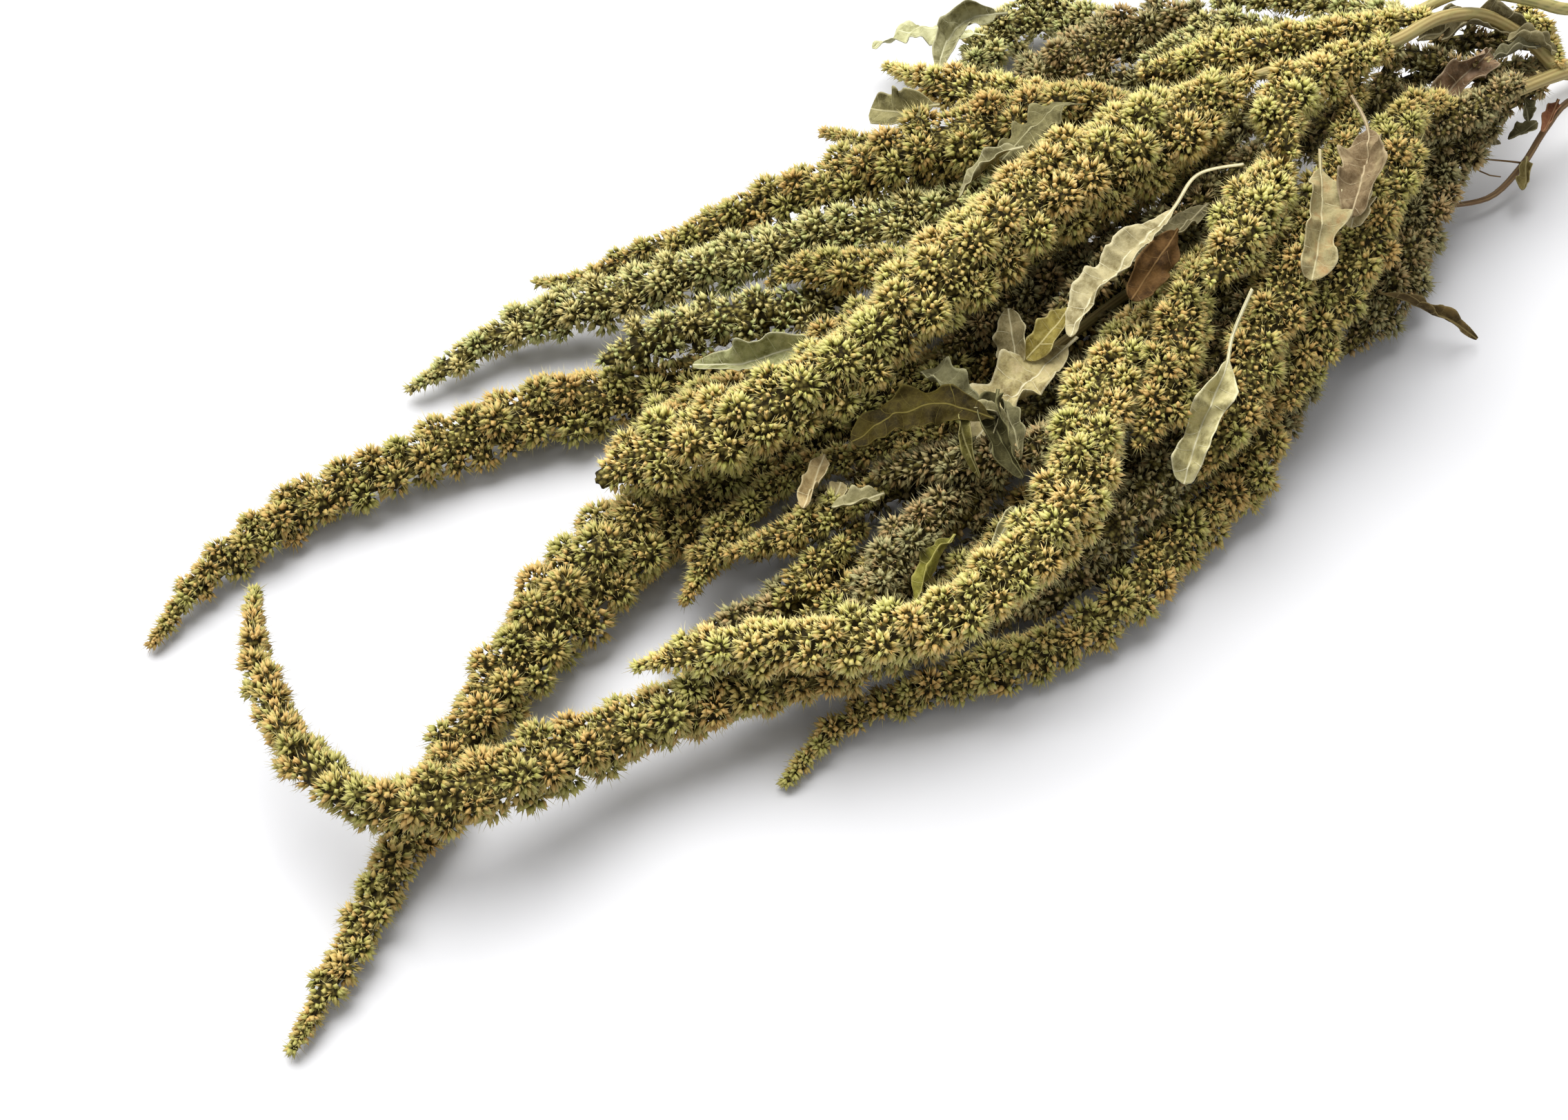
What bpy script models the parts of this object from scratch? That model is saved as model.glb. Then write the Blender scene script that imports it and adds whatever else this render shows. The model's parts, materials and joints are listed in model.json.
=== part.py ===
# A cut bunch of dried love-lies-bleeding amaranth, lying on a flat surface.
#
# Rope-like flower tassels grow from four cut stems and fan out from them.
# Each tassel is a slim core set all over with pointed flower clusters, and
# curled dry leaves with waved margins lie on and between the tassels.
# +X runs from the tassel tips to the cut ends of the stems, and z = 0 is the
# surface that the bunch lies on. Routes are written in millimetres.

import math
import random
from collections import namedtuple

import bmesh
import bpy
import numpy as np
from mathutils.bvhtree import BVHTree

MM = 0.001

# Middle of the bunch's outline in the routes' frame, brought to the origin.
MIDDLE_X = 48.4
MIDDLE_Y = 32.5

# Clearance between pieces that touch, and the thickness of a leaf blade.
GAP = 0.3
BLADE_THICKNESS = 0.7

# Flower clusters: their reach and the valleys between them, as shares of the
# tassel's local radius, and how the rows of clusters are spaced.
CLUSTER_TOP = 1.05
CLUSTER_SPREAD = 0.12
VALLEY = 0.64
VALLEY_SPREAD = 0.06
TIP_LEAN = 0.35
LONGEST_LEAN = 2.1
ROW_STRETCH = 1.25
SHORTEST_ROW = 5.0
STALK_RADIUS = 3.0
STALK_START = 1.3
STALK_SEAT = 1.0
TIP_ROW = 1.0
LEAST_RADIUS = 0.25
OVERREACH = 0.5
NEARBY = 1.3
SIDEWAYS = 0.05

# A tassel that lies low enough on the surface is pressed flat underneath.
LOW_ENOUGH = 0.9
FACING_DOWN = -0.75

# Easing the tassels apart where they lie on each other.
SPAN_POINTS = 24
SAMPLE_STEP = 4.0
PRESS = 0.84
FLOOR_PRESS = 0.80
STEM_PRESS = 0.60
EASE_ROUNDS = 120
TASSEL_PUSH = 0.10
STEM_PUSH = 0.20
PULL_HOME = 0.015
HELD_LENGTH = 25.0

# Clearing what still crosses: clusters are drawn in, and leaves are lifted.
CLEAR_ROUNDS = 90
DRAW_IN = 0.97
LIFT = 0.3
SETTLE = 0.5
SETTLE_ROUNDS = 40

STEM_SIDES = 6
STEM_STEP = 15.0

# Leaf blades: rows of points, half width of the stalk, where the outline is
# widest and how full it is, and how its margin ripples from row to row.
NARROW_LEAF_ROWS = 9
WIDE_LEAF_ROWS = 10
STALK_HALF_WIDTH = 0.7
OUTLINE_SKEW = 0.75
OUTLINE_FULLNESS = 0.7
RIPPLE_TURN = 2.6
RIPPLE_SHIFT = 1.9
RIPPLE_REACH = 0.16

# Stems: the runs of each one as (x, y, z, radius), from the cut end inwards.
STEMS = {
    "stem_main": (
        ((352, -3, 2.9, 2.9), (334, -3.2, 3.4, 2.9), (312, -5, 8, 2.8), (280, -10, 18, 2.7),
         (245, -13, 29, 2.6), (221, -12, 35, 2.5), (214, -1, 43, 2.2),
         (203, 10, 51, 2.1), (184, 12, 58, 2.0), (162, 10, 61, 1.9),
         (142, 13, 61, 1.8), (128, 22, 60, 1.6), (114, 26, 59, 1.3)),
        ((236, -13, 31, 2.2), (218, -12, 36, 2.1), (199, -10, 37, 2.0),
         (182, -9, 37, 1.9), (156, -7, 35, 1.8), (125, -3, 32, 1.7),
         (95, 1, 30, 1.6), (60, 2, 28, 1.5), (25, -1, 26, 1.3),
         (-15, -6, 24, 1.1)),
    ),
    "stem_arch": (
        ((350, -0.2, 7.2, 2.2), (332, 0, 7.8, 2.2), (312, 1, 14, 2.2), (282, -1, 29, 2.1),
         (252, -4, 42, 2.0), (226, -3, 51, 1.9), (213, 3, 57, 1.8),
         (198, 14, 60, 1.7), (186, 19, 57, 1.6), (172, 26, 48, 1.5),
         (150, 42, 36, 1.4), (120, 58, 30, 1.3), (92, 66, 32, 1.1)),
    ),
    "stem_under": (
        ((351, 2.6, 2.6, 2.6), (333, 2.6, 2.6, 2.6), (300, 4, 3.4, 2.6), (252, 8, 8, 2.5),
         (215, 12, 14, 2.3), (180, 20, 20, 2.1), (150, 30, 24, 2.0),
         (120, 40, 26, 1.9), (90, 46, 27, 1.8), (55, 50, 27, 1.6),
         (20, 51, 27, 1.4), (-5, 53, 27, 1.1)),
    ),
    "stem_side": (
        ((293, -12.2, 14.4, 1.2), (270, -20, 19, 1.2), (245, -20, 24, 1.1),
         (223, -15, 25, 1.1), (212, -16, 20, 1.0), (202, -18, 12, 1.0),
         (188, -19, 7, 0.9), (172, -15, 9, 0.8)),
    ),
}

# A tassel leaves its stem at stem_x. Its core has so many sides, and its route
# runs from there to the tip as (x, y, z, radius).
Tassel = namedtuple("Tassel", "name finish stem stem_x sides route")

TASSELS = (
    Tassel("tassel_left_long", "olive", "stem_under", 100, 9, (
        (80, 38, 18, 6), (50, 40, 13, 9), (20, 42, 12, 10), (-15, 48, 11, 10),
        (-45, 58, 10, 10), (-72, 69, 10, 11), (-94, 77, 10, 12), (-114, 82, 10, 10.5),
        (-136, 85, 9, 9.7), (-159, 89, 8, 9), (-181, 89, 7, 8.2), (-203, 85, 6, 6.2),
        (-215, 80, 4, 3.8), (-222, 77, 3, 1.4))),
    Tassel("tassel_left_thin", "grey_green", "stem_under", 60, 9, (
        (43, 58, 34, 7), (22, 65, 31, 9.5), (7, 72, 27, 9.8), (-9, 80, 23, 9.8),
        (-24, 87, 20, 9.8), (-40, 93, 18, 9.2), (-56, 99, 15, 9), (-69, 105, 12, 8.5),
        (-80, 110, 10, 7.6), (-94, 113, 8, 6.8), (-108, 112, 7, 5.6), (-118, 113, 5, 1.8))),
    Tassel("tassel_back_thick", "olive", "stem_arch", 106, 9, (
        (92, 52, 44, 7), (80, 55, 48, 11), (66, 61, 45, 12.5), (52, 66, 42, 13),
        (34, 70, 38, 13), (21, 78, 33, 12), (8, 89, 28, 10.2), (-7, 99, 23, 8.7),
        (-21, 104, 18, 7.2), (-33, 108, 15, 6.5), (-46, 113, 12, 5.8), (-58, 116, 9, 4.6),
        (-66, 125, 7, 1.6))),
    Tassel("tassel_centre_top", "straw", "stem_main", 116, 12, (
        (108, 22, 62, 5), (98, 21, 62, 11), (82, 20, 62, 14), (63, 20, 62, 15.5),
        (39, 21, 61, 14.2), (17, 19, 59, 13.5), (-6, 16, 56, 12.8), (-23, 13, 53, 11.8),
        (-40, 12, 49, 11.2), (-59, 14, 45, 11.7), (-77, 18, 41, 12), (-93, 25, 36, 11.3),
        (-107, 31, 31, 6))),
    Tassel("tassel_centre_under", "olive", "stem_under", 120, 9, (
        (110, 28, 40, 5), (80, 26, 38, 8), (40, 30, 36, 9), (0, 32, 34, 9),
        (-21, 32, 33, 8.7), (-40, 33, 32, 8.7), (-54, 35, 31, 8.6), (-68, 38, 29, 8.4),
        (-81, 41, 26, 7.7), (-94, 44, 23, 4))),
    Tassel("tassel_front_floor", "olive", "stem_main", 118, 9, (
        (105, 8, 24, 6), (70, 12, 14, 10), (30, 15, 10, 12), (-10, 20, 10, 12),
        (-46, 26, 11, 12.5), (-80, 25, 12, 14), (-98, 23, 12, 15.2), (-118, 19, 12, 14.7),
        (-137, 13, 11, 13), (-154, 6, 10, 11.3), (-169, -1, 9, 9.9), (-183, -9, 8, 9),
        (-202, -20, 7, 8.2), (-216, -29, 6, 7.5), (-228, -37, 5, 6.3), (-239, -43, 5, 5.2),
        (-248, -49, 4, 3.7), (-254, -52, 3, 1.4))),
    Tassel("tassel_front_long", "olive", "stem_main", 88, 9, (
        (80, -6, 22, 5), (45, -18, 18, 8), (5, -34, 18, 9), (-36, -47, 18, 9),
        (-62, -52, 18, 9), (-81, -51, 18, 9), (-97, -45, 18, 9.5), (-113, -40, 18, 10.5),
        (-129, -36, 18, 10.4), (-146, -33, 19, 10.3), (-165, -32, 22, 10.5),
        (-185, -31, 26, 10.1), (-201, -29, 29, 9), (-210, -22, 29, 8.3), (-216, -13, 30, 8),
        (-218, 0, 31, 7.3), (-216, 16, 32, 6.4), (-213, 29, 33, 5.5), (-208, 40, 34, 4.6),
        (-203, 48, 35, 1.6))),
    Tassel("tassel_front_top", "straw", "stem_main", 96, 9, (
        (88, -6, 34, 4), (70, -10, 34, 7), (43, -20, 38, 9.8), (13, -35, 44, 11),
        (-5, -47, 45, 11.5), (-19, -57, 44, 11), (-35, -63, 41, 10), (-53, -65, 39, 9.5),
        (-70, -65, 37, 9.1), (-86, -58, 36, 8.7), (-101, -48, 35, 8.3), (-114, -39, 34, 7.9),
        (-126, -32, 33, 6.5), (-135, -28, 32, 2.4))),
    Tassel("tassel_near_edge", "olive", "stem_main", 108, 9, (
        (98, -12, 22, 4), (84, -26, 15, 7), (66, -40, 11, 9), (46, -54, 10, 9.5),
        (28, -61, 10, 9.9), (9, -67, 10, 9.7), (-8, -71, 10, 9.4), (-24, -73, 9, 8.9),
        (-41, -72, 9, 8.2), (-57, -67, 8, 7.6), (-72, -62, 7, 6.7), (-84, -58, 6, 5.5),
        (-96, -57, 5, 4.5), (-107, -59, 4, 3.4), (-114, -61, 3, 1.3))),
    Tassel("tassel_hollow_right", "brown", "stem_main", 46, 6, (
        (34, -14, 28, 3), (14, -28, 31, 6), (-8, -33, 35, 6.5), (-24, -29, 35, 7.3),
        (-36, -21, 33, 7.9), (-46, -13, 31, 5))),
    Tassel("tassel_hollow_mid", "brown", "stem_main", 4, 6, (
        (-10, -16, 26, 3), (-29, -26, 28, 6.3), (-43, -29, 28, 7.7), (-57, -34, 27, 8.5),
        (-70, -40, 25, 7.8), (-80, -44, 24, 4))),
    Tassel("tassel_hollow_floor", "brown", "stem_main", -6, 6, (
        (-24, -16, 14, 3), (-50, -23, 12, 6.3), (-67, -24, 12, 8.4), (-83, -21, 11, 8.7),
        (-99, -18, 10, 7.9), (-111, -13, 8, 5.2), (-117, -12, 7, 2.1))),
    Tassel("tassel_hollow_left", "olive", "stem_main", -13, 6, (
        (-40, 3, 22, 2.5), (-62, 9, 22, 4.5), (-75, 7, 21, 5.6), (-87, 4, 19, 6.9),
        (-97, 0, 16, 6.9), (-104, -3, 13, 3.7))),
    Tassel("tassel_hollow_tip", "olive", "stem_main", -14, 6, (
        (-36, -8, 24, 3), (-56, -12, 25, 5.5), (-68, -11, 24, 6.7), (-80, -8, 23, 6.4),
        (-90, -5, 22, 2.5))),
    Tassel("tassel_right_crest", "straw", "stem_main", 160, 9, (
        (152, 9, 63, 3), (142, 8, 64, 7), (129, 9, 65, 9), (113, 7, 66, 9.6),
        (103, 0, 66, 8.8), (100, -9, 64, 4))),
    Tassel("tassel_right_blunt", "straw", "stem_main", 116, 9, (
        (110, 0, 40, 3), (105, -3, 48, 6), (96, -8, 57, 9), (79, -19, 60, 10.8),
        (65, -24, 58, 9.9), (54, -28, 56, 4.7))),
    Tassel("tassel_right_inner", "olive", "stem_main", 80, 9, (
        (72, -8, 36, 3), (60, -16, 43, 7), (43, -28, 49, 9), (31, -37, 48, 9.3),
        (19, -46, 46, 8.8), (8, -52, 43, 4.6))),
    Tassel("tassel_right_long", "olive", "stem_main", 150, 9, (
        (138, 2, 56, 3), (122, -10, 54, 6), (108, -19, 52, 8), (94, -27, 50, 9.2),
        (75, -37, 47, 10), (60, -44, 42, 9.9), (47, -52, 37, 9.2), (35, -58, 32, 8),
        (26, -61, 28, 4.2))),
    Tassel("tassel_right_side", "olive", "stem_main", 178, 9, (
        (168, -8, 46, 3), (150, -9, 54, 6.8), (132, -21, 54, 9.4), (115, -32, 50, 9.7),
        (98, -40, 44, 9.4), (84, -45, 37, 8.7), (71, -50, 30, 8.1), (61, -54, 25, 4.8))),
    Tassel("tassel_near_stems", "brown", "stem_main", 212, 9, (
        (206, -9, 30, 3), (196, -4, 26, 7), (176, -7, 24, 9.8), (157, -16, 21, 10.4),
        (141, -27, 16, 10.6), (127, -34, 12, 10.3), (114, -38, 10, 8.6), (104, -40, 9, 4))),
    Tassel("tassel_near_low", "brown", "stem_main", 140, 9, (
        (132, -12, 26, 3), (118, -18, 20, 7), (96, -27, 12, 9.3), (74, -38, 10, 9.4),
        (56, -47, 10, 8.9), (43, -54, 10, 7.6), (35, -57, 9, 3.2))),
    Tassel("tassel_ridge", "straw", "stem_main", 184, 9, (
        (178, 17, 58, 3), (172, 20, 57, 6.5), (160, 24, 56, 8), (145, 31, 55, 8.4),
        (129, 39, 54, 8.5), (114, 46, 52, 8.1), (105, 52, 50, 4.6))),
    Tassel("tassel_back_short", "straw", "stem_arch", 98, 6, (
        (90, 79, 31, 5), (78, 89, 30, 9), (70, 103, 28, 7.7), (67, 115, 26, 5.4),
        (65, 123, 25, 2))),
    Tassel("tassel_far_floor", "grey_green", "stem_arch", 156, 9, (
        (152, 60, 26, 3), (148, 90, 16, 6), (136, 124, 11, 8.5), (120, 130, 11, 9.7),
        (102, 122, 11, 9), (87, 112, 12, 5.6))),
    Tassel("tassel_far_thick", "brown", "stem_arch", 164, 9, (
        (161, 52, 34, 3), (156, 76, 27, 7), (148, 89, 25, 9), (135, 91, 23, 11),
        (119, 95, 21, 11.7), (105, 97, 19, 9.9), (94, 100, 17, 4.9))),
    Tassel("tassel_far_inner", "grey_green", "stem_arch", 176, 6, (
        (172, 44, 38, 3), (167, 60, 33, 6.5), (153, 70, 30, 8), (138, 72, 28, 8.4),
        (127, 74, 28, 4.5))),
    Tassel("tassel_far_crest", "grey_green", "stem_arch", 184, 6, (
        (184, 30, 48, 3), (182, 46, 42, 5), (174, 56, 38, 7), (165, 66, 35, 7),
        (159, 77, 32, 4.4))),
    Tassel("tassel_far_tip", "olive", "stem_under", 64, 6, (
        (60, 72, 18, 3), (52, 86, 20, 5.6), (42, 96, 22, 6.2), (36, 106, 23, 4.3),
        (32, 112, 23, 1.4))),
    Tassel("tassel_inner_right", "brown", "stem_main", 200, 6, (
        (190, -2, 28, 3), (172, 3, 22, 8), (148, 2, 16, 10), (120, -4, 12, 10.5),
        (90, -14, 10, 10), (62, -24, 10, 9.5), (38, -34, 10, 9), (16, -42, 10, 7),
        (4, -46, 9, 3))),
    Tassel("tassel_inner_edge", "brown", "stem_main", 104, 6, (
        (96, -14, 30, 3), (80, -24, 28, 7), (58, -36, 25, 8.5), (36, -47, 23, 9),
        (14, -55, 22, 9), (-8, -60, 22, 8), (-26, -63, 22, 4))),
    Tassel("tassel_inner_top", "brown", "stem_main", 166, 6, (
        (160, 8, 50, 3), (140, 8, 45, 8), (115, 7, 43, 9), (90, 5, 43, 9), (65, 2, 44, 8),
        (40, 0, 44, 7), (22, -2, 42, 4))),
    Tassel("tassel_inner_low", "brown", "stem_main", 74, 6, (
        (62, -3, 18, 3), (45, -6, 12, 9), (18, -8, 11, 10.5), (-12, -6, 11, 10.5),
        (-40, -2, 10, 10), (-62, 0, 10, 9), (-78, -1, 9, 4))),
    Tassel("tassel_far_low", "olive", "stem_under", 146, 6, (
        (138, 46, 18, 3), (120, 60, 12, 9), (92, 72, 11, 10), (66, 80, 11, 9.5),
        (44, 86, 10, 7), (32, 90, 9, 3))),
    Tassel("tassel_hollow_back", "olive", "stem_under", 38, 9, (
        (28, 44, 31, 3), (16, 46, 30, 6.8), (2, 51, 28, 8), (-12, 58, 25, 7.7),
        (-22, 66, 23, 4.4))),
    Tassel("tassel_hollow_dark", "grey_green", "stem_under", 10, 9, (
        (2, 57, 22, 3), (-10, 58, 22, 8), (-26, 62, 22, 9), (-42, 67, 22, 9),
        (-56, 70, 23, 9), (-68, 71, 24, 8), (-78, 72, 25, 4))),
)

# A leaf's midrib runs from the foot of its stalk to the tip as (x, y, z). Its
# stalk is so long a share of it. The halves of the blade stand up from the rib
# by `fold`, the margin waves by `wave`, and the blade is turned by `roll` degrees.
Leaf = namedtuple("Leaf", "name finish half_width columns fold wave roll stalk route")

LEAVES = (
    Leaf("leaf_centre_fold", "green", 5.0, 5, 0.9, 0.30, -25, 0.10,
         ((-42, 22, 52), (-50, 27, 48), (-59, 33, 44), (-68, 44, 40))),
    Leaf("leaf_big", "tan", 8.5, 5, 0.35, 0.30, 10, 0.16,
         ((24, -10, 56), (10, -12, 54), (-6, -15, 52), (-22, -19, 48))),
    Leaf("leaf_long", "tan", 4.6, 5, 0.5, 0.35, 15, 0.45,
         ((88, -4, 70), (73, -1, 72), (59, -6, 70), (40, -10, 66), (25, -14, 63), (12, -19, 60))),
    Leaf("leaf_long_shade", "brown", 5.0, 3, -0.4, 0.30, -30, 0.10,
         ((54, -14, 62), (42, -19, 60), (28, -24, 57))),
    Leaf("leaf_right", "green", 5.6, 5, 0.4, 0.35, -20, 0.30,
         ((60, -38, 58), (47, -45, 54), (38, -52, 50), (25, -58, 42), (14, -65, 34))),
    Leaf("leaf_crest", "green", 7.0, 5, -0.3, 0.30, 20, 0.15,
         ((68, 40, 68), (60, 44, 68), (50, 43, 66), (38, 41, 62))),
    Leaf("leaf_pale", "tan", 6.0, 5, 0.3, 0.35, -10, 0.15,
         ((106, -15, 72), (97, -25, 70), (88, -35, 66), (77, -44, 60))),
    Leaf("leaf_brown_curl", "brown", 6.0, 5, 0.8, 0.30, 30, 0.12,
         ((124, -8, 72), (119, -20, 70), (108, -30, 66), (96, -38, 62))),
    Leaf("leaf_olive_curl", "olive", 7.6, 5, -0.55, 0.25, -15, 0.14,
         ((-21, -27, 50), (-29, -15, 50), (-39, -9, 48), (-52, -6, 43))),
    Leaf("leaf_back_square", "olive", 6.0, 3, 0.5, 0.25, 30, 0.15,
         ((46, 78, 48), (42, 86, 44), (38, 100, 38))),
    Leaf("leaf_grey_narrow", "grey", 2.6, 3, 0.5, 0.30, 20, 0.15,
         ((43, 38, 64), (34, 42, 62), (20, 38, 58))),
    Leaf("leaf_yellow_curl", "olive", 3.0, 3, 0.8, 0.25, 40, 0.12,
         ((-44, -40, 40), (-54, -44, 39), (-66, -50, 37))),
    Leaf("leaf_floor_bit", "tan", 3.4, 3, 0.4, 0.20, 0, 0.10,
         ((-54, 3, 30), (-62, -3, 30), (-71, -10, 28))),
    Leaf("leaf_far_edge", "green", 7.5, 3, -0.4, 0.30, 20, 0.15,
         ((104, 124, 26), (94, 133, 28), (85, 141, 27), (74, 144, 23))),
    Leaf("leaf_far_curl", "green", 5.0, 3, 0.7, 0.25, -30, 0.15,
         ((102, 112, 36), (92, 119, 34), (82, 117, 31), (72, 109, 27))),
    Leaf("leaf_near_thin", "brown", 2.2, 3, 0.6, 0.25, 0, 0.10,
         ((118, -37, 18), (126, -44, 15), (134, -50, 12), (143, -57, 3))),
    Leaf("leaf_grey_fold", "grey", 5.0, 3, 0.7, 0.30, 25, 0.12,
         ((-12, -18, 48), (-19, -25, 46), (-22, -34, 44), (-24, -43, 43))),
    Leaf("leaf_stem_crumple", "brown", 7.0, 5, 0.5, 0.35, -20, 0.12,
         ((200, 2, 56), (190, 0, 53), (180, -1, 50), (168, -3, 48))),
    Leaf("leaf_shadow", "grey", 4.5, 3, -0.3, 0.30, 10, 0.10,
         ((78, -2, 58), (60, -5, 57), (42, -5, 56))),
    Leaf("leaf_side_stem", "green", 3.5, 3, 0.4, 0.25, 20, 0.15,
         ((205, -18, 17), (199, -24, 13), (193, -30, 8))),
)

FINISHES = {
    "tassel": {"olive": (0.26, 0.22, 0.08), "straw": (0.36, 0.31, 0.13),
               "grey_green": (0.22, 0.24, 0.11), "brown": (0.23, 0.17, 0.07)},
    "leaf": {"green": (0.38, 0.38, 0.20), "tan": (0.46, 0.37, 0.20),
             "brown": (0.24, 0.15, 0.07), "olive": (0.20, 0.17, 0.04),
             "grey": (0.30, 0.29, 0.20)},
    "stem": {"straw": (0.40, 0.31, 0.12), "green": (0.36, 0.34, 0.10),
             "russet": (0.22, 0.11, 0.05)},
}
STEM_FINISH = {"stem_main": "straw", "stem_arch": "green", "stem_under": "straw",
               "stem_side": "russet"}
ROUGHNESS = {"tassel": 0.9, "leaf": 0.75, "stem": 0.6}


def travelled(curve):
    """Length along a curve up to each of its rows."""
    steps = np.linalg.norm(np.diff(curve[:, :3], axis=0), axis=1)
    return np.concatenate([[0.0], np.cumsum(steps)])


def rows_at(curve, places):
    """The curve's rows at the given lengths along it."""
    travel = travelled(curve)
    return np.stack([np.interp(places, travel, column) for column in curve.T], axis=1)


def smooth_route(points, step):
    """Rows on a smooth curve through the points, `step` mm apart."""
    points = np.array(points, float)
    last = len(points) - 1
    runs = []
    for k in range(last):
        before = points[max(k - 1, 0)]
        start = points[k]
        end = points[k + 1]
        after = points[min(k + 2, last)]
        t = np.linspace(0.0, 1.0, SPAN_POINTS, endpoint=False)[:, None]
        bend = 2 * before - 5 * start + 4 * end - after
        twist = 3 * start - before - 3 * end + after
        runs.append(0.5 * (2 * start + (end - before) * t + bend * t**2 + twist * t**3))
    fine = np.concatenate(runs + [points[-1:]])
    length = travelled(fine)[-1]
    count = max(3, round(length / step) + 1)
    return rows_at(fine, np.linspace(0.0, length, count))


def leaving_point(runs, x, towards):
    """Where a tassel's stalk leaves a stem: by its surface at x, on the side it grows to."""
    towards = np.array(towards[:3], float)
    nearest = None
    for route, solid in runs:
        for k in range(1, len(route) - 1):
            away = np.linalg.norm(route[k, :3] - towards)
            if abs(route[k, 0] - x) < SAMPLE_STEP and (nearest is None or away < nearest[0]):
                nearest = (away, route[k], route[k + 1, :3] - route[k - 1, :3], solid)
    _, row, along, solid = nearest
    along = along / np.linalg.norm(along)
    side = towards - row[:3]
    side -= along * np.dot(side, along)
    outside = row[:3] + side / np.linalg.norm(side) * 2 * row[3]
    surface = np.array(solid.tree().find_nearest(outside.tolist())[0])
    outward = outside - surface
    return surface + outward / np.linalg.norm(outward) * STALK_SEAT


def push_away(rows, others, wanted, share):
    """Sum of the pushes on rows that lie closer to others than they should."""
    apart = rows[:, None, :3] - others[None, :, :3]
    distance = np.linalg.norm(apart, axis=2) + 1e-6
    short = np.clip(wanted - distance, 0.0, None)
    return share * np.sum(apart * (short / distance)[..., None], axis=1)


def smooth_along(values):
    """Values evened out along a route, with its ends as they are."""
    for _ in range(4):
        middle = 0.25 * values[:-2] + 0.5 * values[1:-1] + 0.25 * values[2:]
        values = np.concatenate([values[:1], middle, values[-1:]])
    return values


def ease_apart(strands, stems):
    """Move the tassels' routes apart where they would press too far into each other.

    A tassel's first stretch is held by its stem, and the rest keeps near where
    it was drawn, clear of the stems and above the surface.
    """
    home = np.concatenate(strands)
    rows = home.copy()
    owner = np.concatenate([np.full(len(strand), k) for k, strand in enumerate(strands)])
    free = np.concatenate([np.clip(travelled(strand) / HELD_LENGTH, 0.0, 1.0)
                           for strand in strands])
    bounds = np.cumsum([0] + [len(strand) for strand in strands])
    spans = list(zip(bounds[:-1], bounds[1:]))
    tassel_apart = PRESS * (rows[:, None, 3] + rows[None, :, 3])
    tassel_apart[owner[:, None] == owner[None, :]] = 0.0
    stem_apart = STEM_PRESS * rows[:, None, 3] + stems[None, :, 3]
    for _ in range(EASE_ROUNDS):
        push = push_away(rows, rows, tassel_apart, TASSEL_PUSH)
        push += push_away(rows, stems, stem_apart, STEM_PUSH)
        push += PULL_HOME * (home[:, :3] - rows[:, :3])
        for first, last in spans:
            push[first:last] = smooth_along(push[first:last])
        rows[:, :3] += push * free[:, None]
        rows[:, 2] = np.maximum(rows[:, 2], FLOOR_PRESS * rows[:, 3])
    return [rows[first:last] for first, last in spans]


def frames_along(centres):
    """Unit vectors (side, up, along) at each centre, turned as little as possible."""
    along = np.gradient(centres, axis=0)
    along /= np.linalg.norm(along, axis=1)[:, None]
    side = np.cross((0.0, 0.0, 1.0), along[0])
    frames = []
    for direction in along:
        side = side - direction * np.dot(side, direction)
        side /= np.linalg.norm(side)
        frames.append((side, np.cross(direction, side), direction))
    return frames


def tube_faces(row_count, sides):
    """Triangles of a closed tube whose rows are turned half a step from each other.

    Its points are the rows in order, then the middle of the first end and the
    middle of the last one.
    """
    faces = []
    for row in range(row_count - 1):
        here = row * sides
        there = here + sides
        for k in range(sides):
            after = (k + 1) % sides
            if row % 2 == 0:
                faces.append((here + k, here + after, there + k))
                faces.append((there + k, here + after, there + after))
            else:
                faces.append((here + k, there + after, there + k))
                faces.append((here + k, here + after, there + after))
    first_end = row_count * sides
    last = first_end - sides
    for k in range(sides):
        after = (k + 1) % sides
        faces.append((first_end, after, k))
        faces.append((first_end + 1, last + k, last + after))
    return faces


class Solid:
    """A closed mesh. Each point may have an anchor, towards which it can be drawn in."""

    def __init__(self, name, points, faces, anchors=None):
        self.name = name
        self.points = np.array(points)
        self.points[:, 2] = np.maximum(self.points[:, 2], 0.0)
        self.faces = faces
        self.anchors = anchors

    def tree(self, margin=0.0):
        """Search tree of the mesh, grown by a margin away from the anchors."""
        points = self.points
        if margin:
            arms = points - self.anchors
            points = points + arms / (np.linalg.norm(arms, axis=1)[:, None] + 1e-9) * margin
        return BVHTree.FromPolygons(points.tolist(), self.faces)

    def near(self, other):
        """Whether the boxes of two solids meet."""
        margin = 1.0
        low = np.maximum(self.points.min(axis=0), other.points.min(axis=0))
        high = np.minimum(self.points.max(axis=0), other.points.max(axis=0))
        return bool(np.all(low < high + margin))


def tassel_rows(curve, sides):
    """Rows of clusters along a tassel, closer together where it is slim."""
    travel = travelled(curve)
    places = [0.0]
    while True:
        radius = np.interp(places[-1], travel, curve[:, 3])
        pitch = max(ROW_STRETCH * math.tau * radius / sides * math.sqrt(3) / 2, SHORTEST_ROW)
        if places[-1] + 1.5 * pitch > travel[-1]:
            break
        places.append(places[-1] + pitch)
    places.append(travel[-1] - TIP_ROW)
    return rows_at(curve, places)


def open_radius(centre, radius, direction, neighbours):
    """How far a tassel reaches one way before the flat where it meets a neighbour."""
    apart = neighbours[:, :3] - centre
    distance = np.linalg.norm(apart, axis=1) + 1e-6
    facing = apart @ direction / distance
    meeting = (distance**2 + radius**2 - neighbours[:, 3]**2) / (2 * distance)
    towards = facing > SIDEWAYS
    if not np.any(towards):
        return np.inf
    return max(np.min((meeting[towards] + OVERREACH) / facing[towards]), LEAST_RADIUS * radius)


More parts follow.
